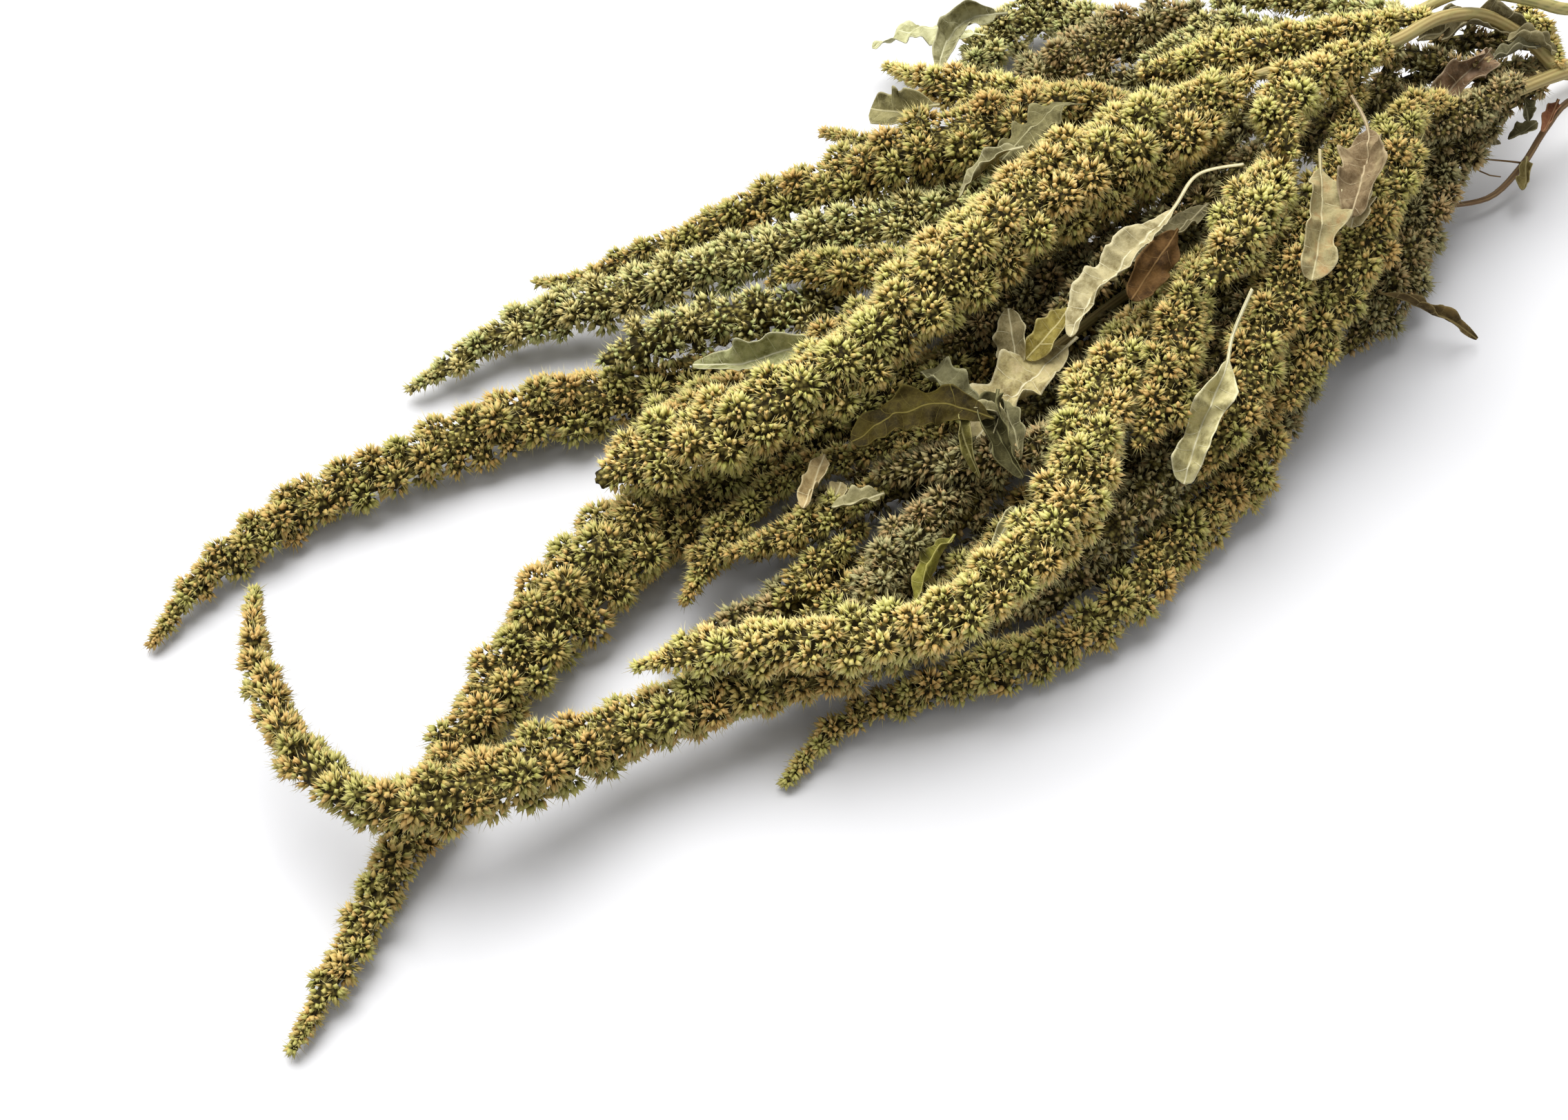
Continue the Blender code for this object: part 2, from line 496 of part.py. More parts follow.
def build_tassel(name, curve, sides, neighbours, dice):
    """One tassel: a slim core with a pointed cluster at every third point of its net."""
    rows = tassel_rows(curve, sides)
    frames = frames_along(rows[:, :3])
    points = []
    anchors = []
    for row, (values, (side, up, along)) in enumerate(zip(rows, frames)):
        centre = values[:3]
        radius = values[3]
        away = np.linalg.norm(neighbours[:, :3] - centre, axis=1)
        close = neighbours[away < NEARBY * (radius + neighbours[:, 3])]
        for k in range(sides):
            turn = math.tau * (k + 0.5 * (row % 2)) / sides
            direction = side * math.cos(turn) + up * math.sin(turn)
            chance = dice.random() - 0.5
            is_cluster = (k - (row - row % 2) // 2 - row) % 3 == 0
            lean = 0.0
            if radius < STALK_RADIUS:
                length = radius
            elif is_cluster:
                length = radius * (CLUSTER_TOP + CLUSTER_SPREAD * chance)
                lean = min(TIP_LEAN * radius, LONGEST_LEAN)
            else:
                length = radius * (VALLEY + VALLEY_SPREAD * chance)
            limit = open_radius(centre, radius, direction, close)
            pressed = centre[2] < LOW_ENOUGH * radius and direction[2] < FACING_DOWN
            if pressed:
                length = centre[2] / -direction[2]
            if pressed or length > limit:
                length = min(length, limit)
                lean = 0.0
            points.append(centre + direction * length + along * lean)
            anchors.append(centre)
    points.append(rows[0, :3] - frames[0][2] * (STALK_SEAT - GAP))
    points.append(curve[-1, :3] + frames[-1][2] * STALK_START)
    anchors.append(rows[1, :3])
    anchors.append(rows[-1, :3])
    return Solid(name, points, tube_faces(len(rows), sides), np.array(anchors))


def build_run(name, run):
    """One run of a stem: a slim tapering tube with flat cut ends."""
    rows = smooth_route(run, STEM_STEP)
    points = []
    for row, (values, (side, up, _)) in enumerate(zip(rows, frames_along(rows[:, :3]))):
        for k in range(STEM_SIDES):
            turn = math.tau * (k + 0.5 * (row % 2)) / STEM_SIDES
            points.append(values[:3] + (side * math.cos(turn) + up * math.sin(turn)) * values[3])
    points.append(rows[0, :3])
    points.append(rows[-1, :3])
    return Solid(name, points, tube_faces(len(rows), STEM_SIDES))


def draw_in(tassels, stems):
    """Draw the clusters in, a little at a time, until no two solids cross."""
    stem_trees = [stem.tree() for stem in stems]
    for _ in range(CLEAR_ROUNDS):
        trees = [tassel.tree(GAP / 2) for tassel in tassels]
        wide_trees = [tassel.tree(GAP) for tassel in tassels]
        crossed = [set() for _ in tassels]
        for k, tassel in enumerate(tassels):
            for j in range(k + 1, len(tassels)):
                if tassel.near(tassels[j]):
                    for face, other_face in trees[k].overlap(trees[j]):
                        crossed[k].update(tassel.faces[face])
                        crossed[j].update(tassels[j].faces[other_face])
            for stem, stem_tree in zip(stems, stem_trees):
                if tassel.near(stem):
                    for face, _ in wide_trees[k].overlap(stem_tree):
                        crossed[k].update(tassel.faces[face])
        if not any(crossed):
            return
        for tassel, chosen in zip(tassels, crossed):
            chosen = sorted(chosen)
            arms = tassel.points[chosen] - tassel.anchors[chosen]
            tassel.points[chosen] = tassel.anchors[chosen] + arms * DRAW_IN


def leaf_grid(leaf, dice):
    """Points of a leaf's middle surface, as rows from its foot to its tip."""
    row_count = WIDE_LEAF_ROWS if leaf.columns > 3 else NARROW_LEAF_ROWS
    ribs = smooth_route([point + (0.0,) for point in leaf.route], 1.0)
    places = np.linspace(0.0, travelled(ribs)[-1], row_count)
    centres = rows_at(ribs, places)[:, :3]
    phase = dice.uniform(0.0, math.tau)
    roll = math.radians(leaf.roll)
    grid = []
    for row, (centre, (side, up, _)) in enumerate(zip(centres, frames_along(centres))):
        across = side * math.cos(roll) + up * math.sin(roll)
        above = up * math.cos(roll) - side * math.sin(roll)
        share = row / (row_count - 1)
        blade = (share - leaf.stalk) / (1.0 - leaf.stalk)
        fullness = 0.0
        if 0.0 < blade < 1.0:
            fullness = math.sin(math.pi * blade**OUTLINE_SKEW) ** OUTLINE_FULLNESS
        width = STALK_HALF_WIDTH + (leaf.half_width - STALK_HALF_WIDTH) * fullness
        line = []
        for column in range(leaf.columns):
            place = 2.0 * column / (leaf.columns - 1) - 1.0
            shift = RIPPLE_SHIFT if place > 0 else 0.0
            ripple = math.sin(RIPPLE_TURN * row + phase + shift)
            reach = width * place * (1.0 + RIPPLE_REACH * ripple * fullness)
            rise = width * fullness * (leaf.fold * abs(place) + leaf.wave * ripple * place**2)
            line.append(centre + across * reach + above * rise)
        grid.append(line)
    return np.array(grid)


def leaf_solid(name, grid, thickness):
    """A blade of even thickness about a grid, split alike on both faces."""
    row_count, column_count = grid.shape[:2]
    normal = np.cross(np.gradient(grid, axis=1), np.gradient(grid, axis=0))
    normal /= np.linalg.norm(normal, axis=2)[..., None]
    top = (grid + normal * thickness / 2).reshape(-1, 3)
    bottom = (grid - normal * thickness / 2).reshape(-1, 3)
    below = row_count * column_count
    faces = []

    def wall(first, second):
        faces.append((first, second, second + below))
        faces.append((first, second + below, first + below))

    for row in range(row_count - 1):
        for column in range(column_count - 1):
            a = row * column_count + column
            b = a + 1
            c = b + column_count
            d = a + column_count
            if column < column_count // 2:
                halves = ((a, b, c), (a, c, d))
            else:
                halves = ((a, b, d), (b, c, d))
            for half in halves:
                faces.append(half)
                faces.append(tuple(k + below for k in reversed(half)))
        wall(row * column_count, (row + 1) * column_count)
        right = (row + 1) * column_count - 1
        wall(right + column_count, right)
    for column in range(column_count - 1):
        wall(column + 1, column)
        last = below - column_count + column
        wall(last, last + 1)
    return Solid(name, np.concatenate([top, bottom]), faces)


def crossed_rows(name, grid, obstacles):
    """Rows of a leaf, grown by the clearance, that cross the obstacles."""
    shell = leaf_solid(name, grid, BLADE_THICKNESS + 2 * GAP)
    tree = shell.tree()
    count = grid.shape[0] * grid.shape[1]
    rows = set()
    for solid, solid_tree in obstacles:
        if shell.near(solid):
            for face, _ in tree.overlap(solid_tree):
                rows.update(k % count // grid.shape[1] for k in shell.faces[face])
    return rows


def lay_leaf(leaf, obstacles, dice):
    """Lower a leaf until it touches what it lies on, then bend it clear, row by row."""
    grid = leaf_grid(leaf, dice)
    for _ in range(SETTLE_ROUNDS):
        if crossed_rows(leaf.name, grid, obstacles):
            break
        grid[:, :, 2] -= SETTLE
    for _ in range(CLEAR_ROUNDS):
        rows = crossed_rows(leaf.name, grid, obstacles)
        if not rows:
            break
        for row in rows:
            grid[row, :, 2] += LIFT
            for beside in (row - 1, row + 1):
                if 0 <= beside < len(grid) and beside not in rows:
                    grid[beside, :, 2] += LIFT / 2
    return leaf_solid(leaf.name, grid, BLADE_THICKNESS)


def make_material(kind, finish):
    """A plain material of one kind of piece."""
    colour = FINISHES[kind][finish]
    material = bpy.data.materials.new(f"{kind}_{finish}")
    material.use_nodes = True
    shader = material.node_tree.nodes["Principled BSDF"]
    shader.inputs["Base Color"].default_value = (*colour, 1.0)
    shader.inputs["Roughness"].default_value = ROUGHNESS[kind]
    shader.inputs["Metallic"].default_value = 0.0
    material.diffuse_color = (*colour, 1.0)
    return material


def make_object(solid, material):
    """A Blender object of one solid, in metres and round the origin."""
    middle = np.array((MIDDLE_X, MIDDLE_Y, 0.0))
    bm = bmesh.new()
    vertices = [bm.verts.new((point - middle) * MM) for point in solid.points]
    for face in solid.faces:
        bm.faces.new([vertices[k] for k in face])
    mesh = bpy.data.meshes.new(solid.name)
    bm.to_mesh(mesh)
    bm.free()
    mesh.materials.append(material)
    built = bpy.data.objects.new(solid.name, mesh)
    bpy.context.scene.collection.objects.link(built)
    return built


def make_stem(runs, material):
    """One stem from its runs, joined where it forks."""
    stem = make_object(runs[0], material)
    for run in runs[1:]:
        branch = make_object(run, material)
        branch.hide_render = True
        branch.display_type = "WIRE"
        fork = stem.modifiers.new("fork", "BOOLEAN")
        fork.operation = "UNION"
        fork.object = branch


def main():
    for thing in list(bpy.data.objects):
        bpy.data.objects.remove(thing, do_unlink=True)
    materials = {(kind, finish): make_material(kind, finish)
                 for kind, finishes in FINISHES.items() for finish in finishes}

    stems = {name: [(smooth_route(run, SAMPLE_STEP), build_run(f"{name}_{k}" if k else name, run))
                    for k, run in enumerate(runs)] for name, runs in STEMS.items()}
    stem_rows = np.concatenate([route for runs in stems.values() for route, _ in runs])
    stem_solids = [solid for runs in stems.values() for _, solid in runs]
    strands = []
    for tassel in TASSELS:
        start = leaving_point(stems[tassel.stem], tassel.stem_x, tassel.route[0])
        strands.append(smooth_route(((*start, STALK_START),) + tassel.route, SAMPLE_STEP))
    strands = ease_apart(strands, stem_rows)

    tassels = []
    for index, tassel in enumerate(TASSELS):
        others = [rows for k, rows in enumerate(strands) if k != index]
        neighbours = np.concatenate(others + [stem_rows])
        dice = random.Random(index + 1)
        tassels.append(build_tassel(tassel.name, strands[index], tassel.sides, neighbours, dice))
    draw_in(tassels, stem_solids)

    obstacles = [(solid, solid.tree()) for solid in tassels + stem_solids]
    leaves = []
    for index, leaf in enumerate(LEAVES):
        leaves.append(lay_leaf(leaf, obstacles, random.Random(100 + index)))
        obstacles.append((leaves[-1], leaves[-1].tree()))

    for name, runs in stems.items():
        make_stem([solid for _, solid in runs], materials["stem", STEM_FINISH[name]])
    for tassel, solid in zip(TASSELS, tassels):
        make_object(solid, materials["tassel", tassel.finish])
    for leaf, solid in zip(LEAVES, leaves):
        make_object(solid, materials["leaf", leaf.finish])


main()
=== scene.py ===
"""Looks of a cut bunch of dried trailing amaranth, built round its solids.

Each flower tassel gets a core dark with painted shade and thousands of florets
with bristles, gathered into ball-shaped clusters. The leaves get their crumples
and veins, and the stems their ribs. Lengths in tables are in millimetres.
"""

import json
import math
import random
import typing

import bmesh
import bpy
import numpy as np
from mathutils import Matrix, Vector, bvhtree, noise

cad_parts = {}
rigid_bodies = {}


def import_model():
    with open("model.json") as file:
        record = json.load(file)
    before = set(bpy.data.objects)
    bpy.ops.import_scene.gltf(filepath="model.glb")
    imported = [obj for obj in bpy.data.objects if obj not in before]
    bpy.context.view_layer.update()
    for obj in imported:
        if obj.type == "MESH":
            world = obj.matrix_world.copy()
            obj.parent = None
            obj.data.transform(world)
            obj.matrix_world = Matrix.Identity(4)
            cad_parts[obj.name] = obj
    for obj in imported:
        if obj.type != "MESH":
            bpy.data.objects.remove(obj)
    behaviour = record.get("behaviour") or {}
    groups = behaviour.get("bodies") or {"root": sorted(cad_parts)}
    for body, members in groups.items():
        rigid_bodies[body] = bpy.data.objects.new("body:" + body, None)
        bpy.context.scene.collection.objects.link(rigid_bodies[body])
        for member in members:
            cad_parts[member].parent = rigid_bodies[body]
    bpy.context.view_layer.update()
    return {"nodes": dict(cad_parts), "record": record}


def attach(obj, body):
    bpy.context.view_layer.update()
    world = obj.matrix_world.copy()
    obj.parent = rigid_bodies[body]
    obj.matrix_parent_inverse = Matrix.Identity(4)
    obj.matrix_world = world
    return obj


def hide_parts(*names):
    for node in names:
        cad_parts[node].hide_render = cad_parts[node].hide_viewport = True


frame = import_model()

bl_info = {
    "name": "Dried Amaranth Bunch",
    "version": (1, 0, 0),
    "blender": (4, 5, 0),
    "location": "3D View > Sidebar > Amaranth",
    "description": "Dresses a cut bunch of dried trailing amaranth with florets, leaves and stems",
    "category": "Object",
}

MM = 0.001

# The part's origin on the routes of leaves and stems, in mm.
MIDDLE_X = 48.4
MIDDLE_Y = 32.5
SLOTS = {part["node"]: part["material_slot"] for part in frame["record"]["subparts"]}

# The image's middle as a point on the floor, and the way back from it to the camera.
LOOK_AT = Vector((-0.1184, -0.0325, 0.0))
CAMERA_BACK = Vector((-0.3868, -0.5133, 0.7660))
CAMERA_DISTANCE = 0.72

# Leaves: spacing of a blade's points, its stalk and outline, and the waves of its margin.
BLADE_STEP = 0.7 * MM
STALK_HALF = 0.5 * MM
OUTLINE_SKEW = 0.75
OUTLINE_FULLNESS = 0.7
BLUNT_GROWN = 0.45
RIPPLE_TURN = 2.6
RIPPLE_SHIFT = 1.9
RIPPLE_REACH = 0.09
LEAST_CURL = 0.05
RUFFLE_SHARE = 0.75
FRILL_LEAST = 0.5
FRILL_SHARE = 0.4
FRILL_SIDE = 2.4

# Creases: their depth, those of the side veins and the rib, how deep a blade crumples,
# and how narrow the painted shade along its folds is.
QUILT = 0.45 * MM
VEIN_SLANT = 0.62
VEIN_BEND = 0.35
VEIN_STAGGER = 0.4
VEIN_CREASE = 0.35
VEIN_START = 4
RIB_DEPTH = 1.4
RIB_HALF = 0.7 * MM
CRUMPLE_TOP = 1.2
FOLD_DEPTH = 3.2
CRACK_DEPTH = 1.1
CREASE_EDGE = 9.0
CREASE_CRACK = 1.6

# Smooth noise that shapes blades and stems: strength, length of its waves, and its place.
SMALL_TEETH = (0.35, 3.4 * MM, 3)
LARGE_TEETH = (0.9, 9.0 * MM, 4)
CURL_CHANGE = (1.2, 13.0 * MM, 7)
FRILL_SHIFT = (4.0, 11.0 * MM, 0)
FRILL_CHANGE = (1.5, 9.0 * MM, 6)
EDGE_SWELL = (1.2, 9.0 * MM, 1)
EDGE_GRAIN = (0.2, 3.0 * MM, 2)
FOLDS = (1.0, 9.0 * MM, 9)
CRACKS = (1.0, 3.8 * MM, 5)
VEIN_WANDER = (1.6 * MM, 6.0 * MM, 0)
STEM_SWELL = (0.05, 14.0 * MM, 0)
RIB_SWELL = (0.04, 6.0 * MM, 0)
NOISE_PLACES = 97
HALF_APART = 0.05

# Merging the frame's loose triangles, the points of a smooth curve for each row given, the
# step between a spine's points, and the lowest point of anything but a floret.
WELD = 0.00002
CURVE_POINTS = 24
SPINE_STEP = 2.0 * MM
ABOVE_FLOOR = 0.3 * MM

# A floret: its thin parts' widths, where its bud is widest, and where its parts start.
BRISTLE_WIDTH = 0.30 * MM
SCALE_WIDTH = 0.85 * MM
BELLY = 0.42
SCALE_LIFT = 0.08
BRISTLE_LIFT = 0.1
FLORET_WELD = 1e-7
KIND_WEIGHTS = (0.36, 0.28, 0.16, 0.20)

# Tassels: how far the solids' clusters reach past their radius, how much of it smoothing
# keeps, and the least radius by the distance from the tip, in mm.
CLUSTER_TOP = 1.06
KEPT_RADIUS = 0.9
TIP_RADIUS = 2.5
TIP_GROWTH = 0.17
TIP_FULL = 5.0

# Balls of florets: their radius by the tassel's, how much that and their reach vary, how
# close they are, and those along the tip, in mm.
CLUSTER_BASE = 1.4 * MM
CLUSTER_SHARE = 0.40
BALL_SPREAD = (0.80, 1.18)
REACH_SPREAD = (0.93, 1.09)
PITCH = 1.45
TRIES = 10
THINNEST = 2.4 * MM
TIP_PLACES = range(0, 24, 2)
TIP_END = 9.5
TIP_BALL = 2.1
TIP_BALL_GROWTH = 0.14
TIP_BALL_FULL = 3.0

# Florets on a ball: fewest, rows' spacing, spacing and size on the least ball and what a
# full one adds, how much they vary, how deep they sit, and how far they lean to the tip.
FEWEST = 8
ROW_PITCH = 0.87
FULL_BALL = 5.0 * MM
THIN_SPACING = (0.66, 0.34)
THIN_SIZE = (0.74, 0.26)
SIZE_SPREAD = (0.8, 1.2)
RAY_SPREAD = 0.12
SUNK = 0.72
TIPWARD = 0.25
THIN_TIPWARD = 0.9
AIM_SPREAD = 0.17
BACK_REACH = -0.8
SWALLOWED = 0.88
TONE_SPREAD = 0.2

# Florets between the balls: height, spacing, distance to a ball, lean, size and tone.
CARPET_TOP = 0.80
CARPET_SPACING = 1.08
CARPET_JITTER = 0.3
CARPET_CLEAR = 0.97
CARPET_LEAN = 0.5
CARPET_AIM_SPREAD = 0.14
CARPET_SIZE = 0.9
CARPET_TONE = (0.45, 0.22)

# The inside of a tassel, dark with painted shade: a stalk, and a heart in each ball.
CORE_LESS = 1.5 * MM
CORE_SHARE = 0.54
CORE_SIDES = 7
CORE_SPREAD = (0.85, 1.1)
HEART = 0.60

# Florets that no light or eye reaches are left out: those inside a tassel or under the
# floor, the tassels' width for that test, the rays of the sky that are tried, and the
# florets that point down.
HIDDEN_SHARE = 0.84
INNER_SHARE = 0.50
LOWEST_TIP = -1.2 * MM
FLORET_FLOOR = 0.1 * MM
SHADE_SHARE = 0.72
SHADE_SIDES = 8
SKY = [(angle, rise) for rise, steps in ((6, 9), (32, 7), (60, 4), (88, 1))
       for angle in np.arange(steps) * 360.0 / steps]
FACING = -0.35
DOWNWARD = -0.45
UNDER = 5.0 * MM
SPARE_DOWN = 0.5

# Stage: half the floor's side, and the main light's width in degrees and direction.
FLOOR_HALF = 6.0
SUN_WIDTH = 60.0
SUN_FROM = Vector((-0.02, 0.55, 1.15))

# Short side tassels in the hollows, between the solids: slot, and (x, y, z, radius).
FILLERS = {
    "twig_under_crest": ("tassel_brown", (
        (92, 22, 24, 4), (76, 22, 25, 7), (58, 21, 26, 8.5), (40, 20, 26, 8.5), (20, 20, 24, 8),
        (2, 20, 20, 5))),
    "twig_in_hollow": ("tassel_brown", (
        (12, -38, 12, 4), (-4, -36, 12, 7), (-20, -35, 12, 8.5), (-36, -39, 11, 8.5),
        (-50, -44, 10, 7), (-60, -47, 9, 3))),
    "twig_under_arch": ("tassel_brown", (
        (198, -10, 38, 3), (190, 0, 42, 6), (183, 10, 43, 7), (174, 18, 44, 6.5), (164, 24, 44, 3))),
    "twig_at_fork": ("tassel_straw", (
        (227, 14, 40, 3), (225, 8, 41, 5), (222.5, 1, 41, 5.5), (220, -6, 40, 4), (218, -10, 39, 3))),
    "twig_inside_fork": ("tassel_brown", (
        (197, 20, 36, 3), (204, 17, 36, 6), (211, 11, 37, 6.5), (216, 4, 38, 5), (219, -2, 38, 3))),
    "twig_over_stem": ("tassel_brown", (
        (198, -12, 42, 3), (190, -12, 42.5, 5), (180, -12, 42, 6.5), (170, -12, 41, 6.5),
        (160, -11, 40, 4))),
    "twig_by_ridge": ("tassel_brown", (
        (172, -4, 43, 4), (161, 4, 43, 7), (150, 12, 41, 7.5), (138, 20, 38, 4))),
    "twig_behind_blunt": ("tassel_brown", (
        (138, 33, 40, 4), (122, 29, 36, 7.5), (106, 25, 32, 8.5), (92, 23, 29, 7), (84, 22, 28, 3))),
    "twig_in_shade": ("tassel_brown", (
        (97, -9, 30, 3), (84, -14, 27, 7), (71, -17, 25, 8), (58, -20, 22, 4))),
    "twig_hollow_left": ("tassel_olive", (
        (-56, -16, 20, 3), (-66, -19, 19.5, 6), (-76, -21, 18.5, 7.2), (-86, -22, 16, 5.5),
        (-92, -23, 14, 3))),
    "twig_hollow_near": ("tassel_olive", (
        (-58, -28, 18, 3), (-70, -30, 16, 7), (-81, -30, 13, 8.2), (-92, -29, 11, 6), (-98, -29, 10, 3))),
    "twig_hollow_low": ("tassel_brown", (
        (-44, -34, 18, 3), (-57, -38, 16, 7), (-68, -39, 14, 8.5), (-80, -38, 12, 6), (-87, -37, 11, 3))),
    "twig_hollow_far": ("tassel_brown", (
        (-14, -24, 24, 3), (-22, -27, 22, 6), (-31, -30, 20, 7), (-40, -31, 19, 5), (-46, -31, 18, 3))),
    "twig_front_under": ("tassel_brown", (
        (-6, -56, 12, 3), (-20, -55, 11, 6), (-34, -54, 10, 7.5), (-48, -54, 9, 6.5), (-60, -54, 8, 3))),
    "twig_front_right": ("tassel_brown", (
        (-2, -62, 12, 3), (-14, -63, 13, 6), (-26, -62, 13, 7), (-37, -59, 12, 6), (-46, -57, 11, 3))),
    "twig_far_gap": ("tassel_brown", (
        (148, 68, 18, 3), (138, 73, 19, 6.5), (127, 79, 19, 7), (117, 86, 18, 6), (108, 92, 17, 3))),
    "twig_arch_near": ("tassel_brown", (
        (164, 15, 36, 3), (173, 13, 37, 5.5), (182, 11, 37, 5.5), (191, 8, 36, 3))),
    "twig_arch_fork": ("tassel_brown", (
        (202, 5, 34, 3), (208, 1, 35, 5), (214, -3, 35, 5), (220, -6, 34, 3))),
    "twig_front_left": ("tassel_olive", (
        (-72, -52, 11, 3), (-84, -46, 12, 6), (-96, -40, 12, 7), (-108, -36, 12, 6.5), (-118, -33, 11, 3))),
}

# Tassels deep inside the bunch carry fewer florets.
DEEP = ("tassel_inner_right", "tassel_inner_edge", "tassel_inner_top", "tassel_inner_low",
        "tassel_far_low", "tassel_hollow_dark", "twig_behind_blunt", "twig_in_shade",
        "twig_front_under", "twig_under_arch", "twig_by_ridge", "twig_inside_fork")
SPARSER = 1.35


def linear(code):
    """Linear colour of an sRGB hex code."""
    values = [int(code[k:k + 2], 16) / 255 for k in (1, 3, 5)]
    channels = [v / 12.92 if v <= 0.04045 else ((v + 0.055) / 1.055) ** 2.4 for v in values]
    return (*channels, 1.0)


class FlowerSettings(bpy.types.PropertyGroup):
    """Sizes and tint of the florets."""

    floret_length: bpy.props.FloatProperty(
        name="Floret length", description="Length of a floret's grain",
        default=3.2 * MM, min=1.0 * MM, max=6.0 * MM, unit="LENGTH")
    floret_width: bpy.props.FloatProperty(
        name="Floret width", description="Width of a floret's grain",
        default=1.62 * MM, min=0.4 * MM, max=3.0 * MM, unit="LENGTH")
    bristle_length: bpy.props.FloatProperty(
        name="Bristle length", description="Length of the bristle beside a floret",
        default=4.5 * MM, min=1.0 * MM, max=8.0 * MM, unit="LENGTH")
    spacing: bpy.props.FloatProperty(
        name="Spacing", description="Distance between neighbouring florets in a cluster",
        default=2.18 * MM, min=1.0 * MM, max=6.0 * MM, unit="LENGTH")
    tint: bpy.props.FloatVectorProperty(
        name="Tint", description="Colour that every floret's own colours are multiplied by",
        default=(1.0, 1.0, 1.0), min=0.0, max=1.0, subtype="COLOR")
    seed: bpy.props.IntProperty(
        name="Seed", description="Start of the random draws", default=11, min=0)


class LeafSettings(bpy.types.PropertyGroup):
    """Thickness, vein spacing and tint of the leaves."""

    thickness: bpy.props.FloatProperty(
        name="Thickness", description="Thickness of a blade",
        default=0.25 * MM, min=0.05 * MM, max=0.7 * MM, unit="LENGTH")
    vein_spacing: bpy.props.FloatProperty(
        name="Vein spacing", description="Distance between side veins along the rib",
        default=5.5 * MM, min=2.0 * MM, max=12.0 * MM, unit="LENGTH")
    tint: bpy.props.FloatVectorProperty(
        name="Tint", description="Colour that every leaf's own colours are multiplied by",
        default=(1.0, 1.0, 1.0), min=0.0, max=1.0, subtype="COLOR")


class StemSettings(bpy.types.PropertyGroup):
    """Ribs and streaks of the stems."""

    rib_depth: bpy.props.FloatProperty(
        name="Rib depth", description="Height of a rib as a share of the stem's radius",
        default=0.05, min=0.0, max=0.2, subtype="FACTOR")
    streaks: bpy.props.FloatProperty(
        name="Streaks", description="How strongly the streaks show", default=0.7,
        min=0.0, max=1.0, subtype="FACTOR")


class StageSettings(bpy.types.PropertyGroup):
    """Floor, light and camera."""

    floor_colour: bpy.props.FloatVectorProperty(
        name="Floor colour", description="Colour of the floor",
        default=linear("#C6C6C8")[:3], min=0.0, max=1.0, subtype="COLOR")
    lens: bpy.props.FloatProperty(
        name="Lens", description="Focal length of the camera", default=60.0,
        min=20.0, max=200.0, subtype="NONE")
    key_strength: bpy.props.FloatProperty(
        name="Key light", description="Strength of the main light", default=5.2, min=0.0, max=20.0)
    fill_strength: bpy.props.FloatProperty(
        name="Fill light", description="Strength of the light from all round", default=0.62,
        min=0.0, max=5.0)


def add_node(tree, kind, inputs=None, stops=(), **settings):
    """A node with its settings, links and any colour stops, given as (place, colour)."""
    node = tree.nodes.new(kind)
    for name, value in settings.items():
        setattr(node, name, value)
    for name, value in (inputs or {}).items():
        if isinstance(value, bpy.types.NodeSocket):
            tree.links.new(value, node.inputs[name])
        else:
            node.inputs[name].default_value = value
    for k, (place, colour) in enumerate(stops):
        elements = node.color_ramp.elements
        element = elements[k] if k < len(elements) else elements.new(place)
        element.position = place
        element.color = colour
    return node


def new_material(name, roughness, specular):
    """An empty material with its shader, and the tree to build it in."""
    material = bpy.data.materials.new(name)
    material.use_nodes = True
    tree = material.node_tree
    shader = tree.nodes["Principled BSDF"]
    shader.inputs["Roughness"].default_value = roughness
    shader.inputs["Specular IOR Level"].default_value = specular
    return material, tree, shader


# Dried bracts, from the shaded foot of a floret to its papery tip: first those that
# dried brown, then those that kept their colour, then the bristles.
BRACT_COLOURS = {
    "tassel_olive": (("#64502A", "#AE8C4E", "#C8A868"), ("#54551F", "#99964C", "#B4AC69"),
                     ("#665F2E", "#A8A060", "#C4B67E")),
    "tassel_straw": (("#705A30", "#C2A058", "#D8BC7E"), ("#5F5E26", "#B0AD5A", "#C9C37C"),
                     ("#70632E", "#BBB16A", "#D4C88E")),
    "tassel_grey_green": (("#6A5E34", "#B8A768", "#CBBC80"), ("#565F2E", "#9DA262", "#BCBD80"),
                          ("#636236", "#ABA66C", "#CAC28C")),
    "tassel_brown": (("#4E4024", "#977C4E", "#B09668"), ("#444426", "#827E54", "#A29C6E"),
                     ("#4B4526", "#8A8153", "#A89F74")),
}
# Colours of a tassel's inside, painted as light and shade: light on the buds' backs,
# shade on their sides and shadow in the gaps between them.
CORE_PAINTED_SHADE = ("#8E844A", "#62582C", "#2C2614")


def tinted(code, tint):
    """A colour multiplied by a tint."""
    return (*(channel * share for channel, share in zip(linear(code)[:3], tint)), 1.0)


def bract_material(slot, tint):
    """Dry papery bracts: matte, darker at the foot, with pale tips and bristles."""
    material, tree, shader = new_material(f"dried_bract_{slot}", 0.72, 0.25)
    tip, tone, bristle = (
        add_node(tree, "ShaderNodeAttribute", attribute_name=name).outputs["Fac"]
        for name in ("tip", "tone", "bristle"))
    browned, kept, hair = (
        add_node(tree, "ShaderNodeValToRGB", {"Fac": tip},
                 stops=[(place, tinted(code, tint)) for place, code in zip((0.08, 0.4, 0.85), codes)]
                 ).outputs["Color"]
        for codes in BRACT_COLOURS[slot])
    spread = add_node(tree, "ShaderNodeMapRange", {"Value": tone, "From Min": 0.2, "From Max": 0.7})
    bud = add_node(tree, "ShaderNodeMix", {0: spread.outputs[0], 6: browned, 7: kept}, data_type="RGBA")
    worn = add_node(tree, "ShaderNodeMix", {0: bristle, 6: bud.outputs[2], 7: hair}, data_type="RGBA")
    tree.links.new(worn.outputs[2], shader.inputs["Base Color"])
    return material


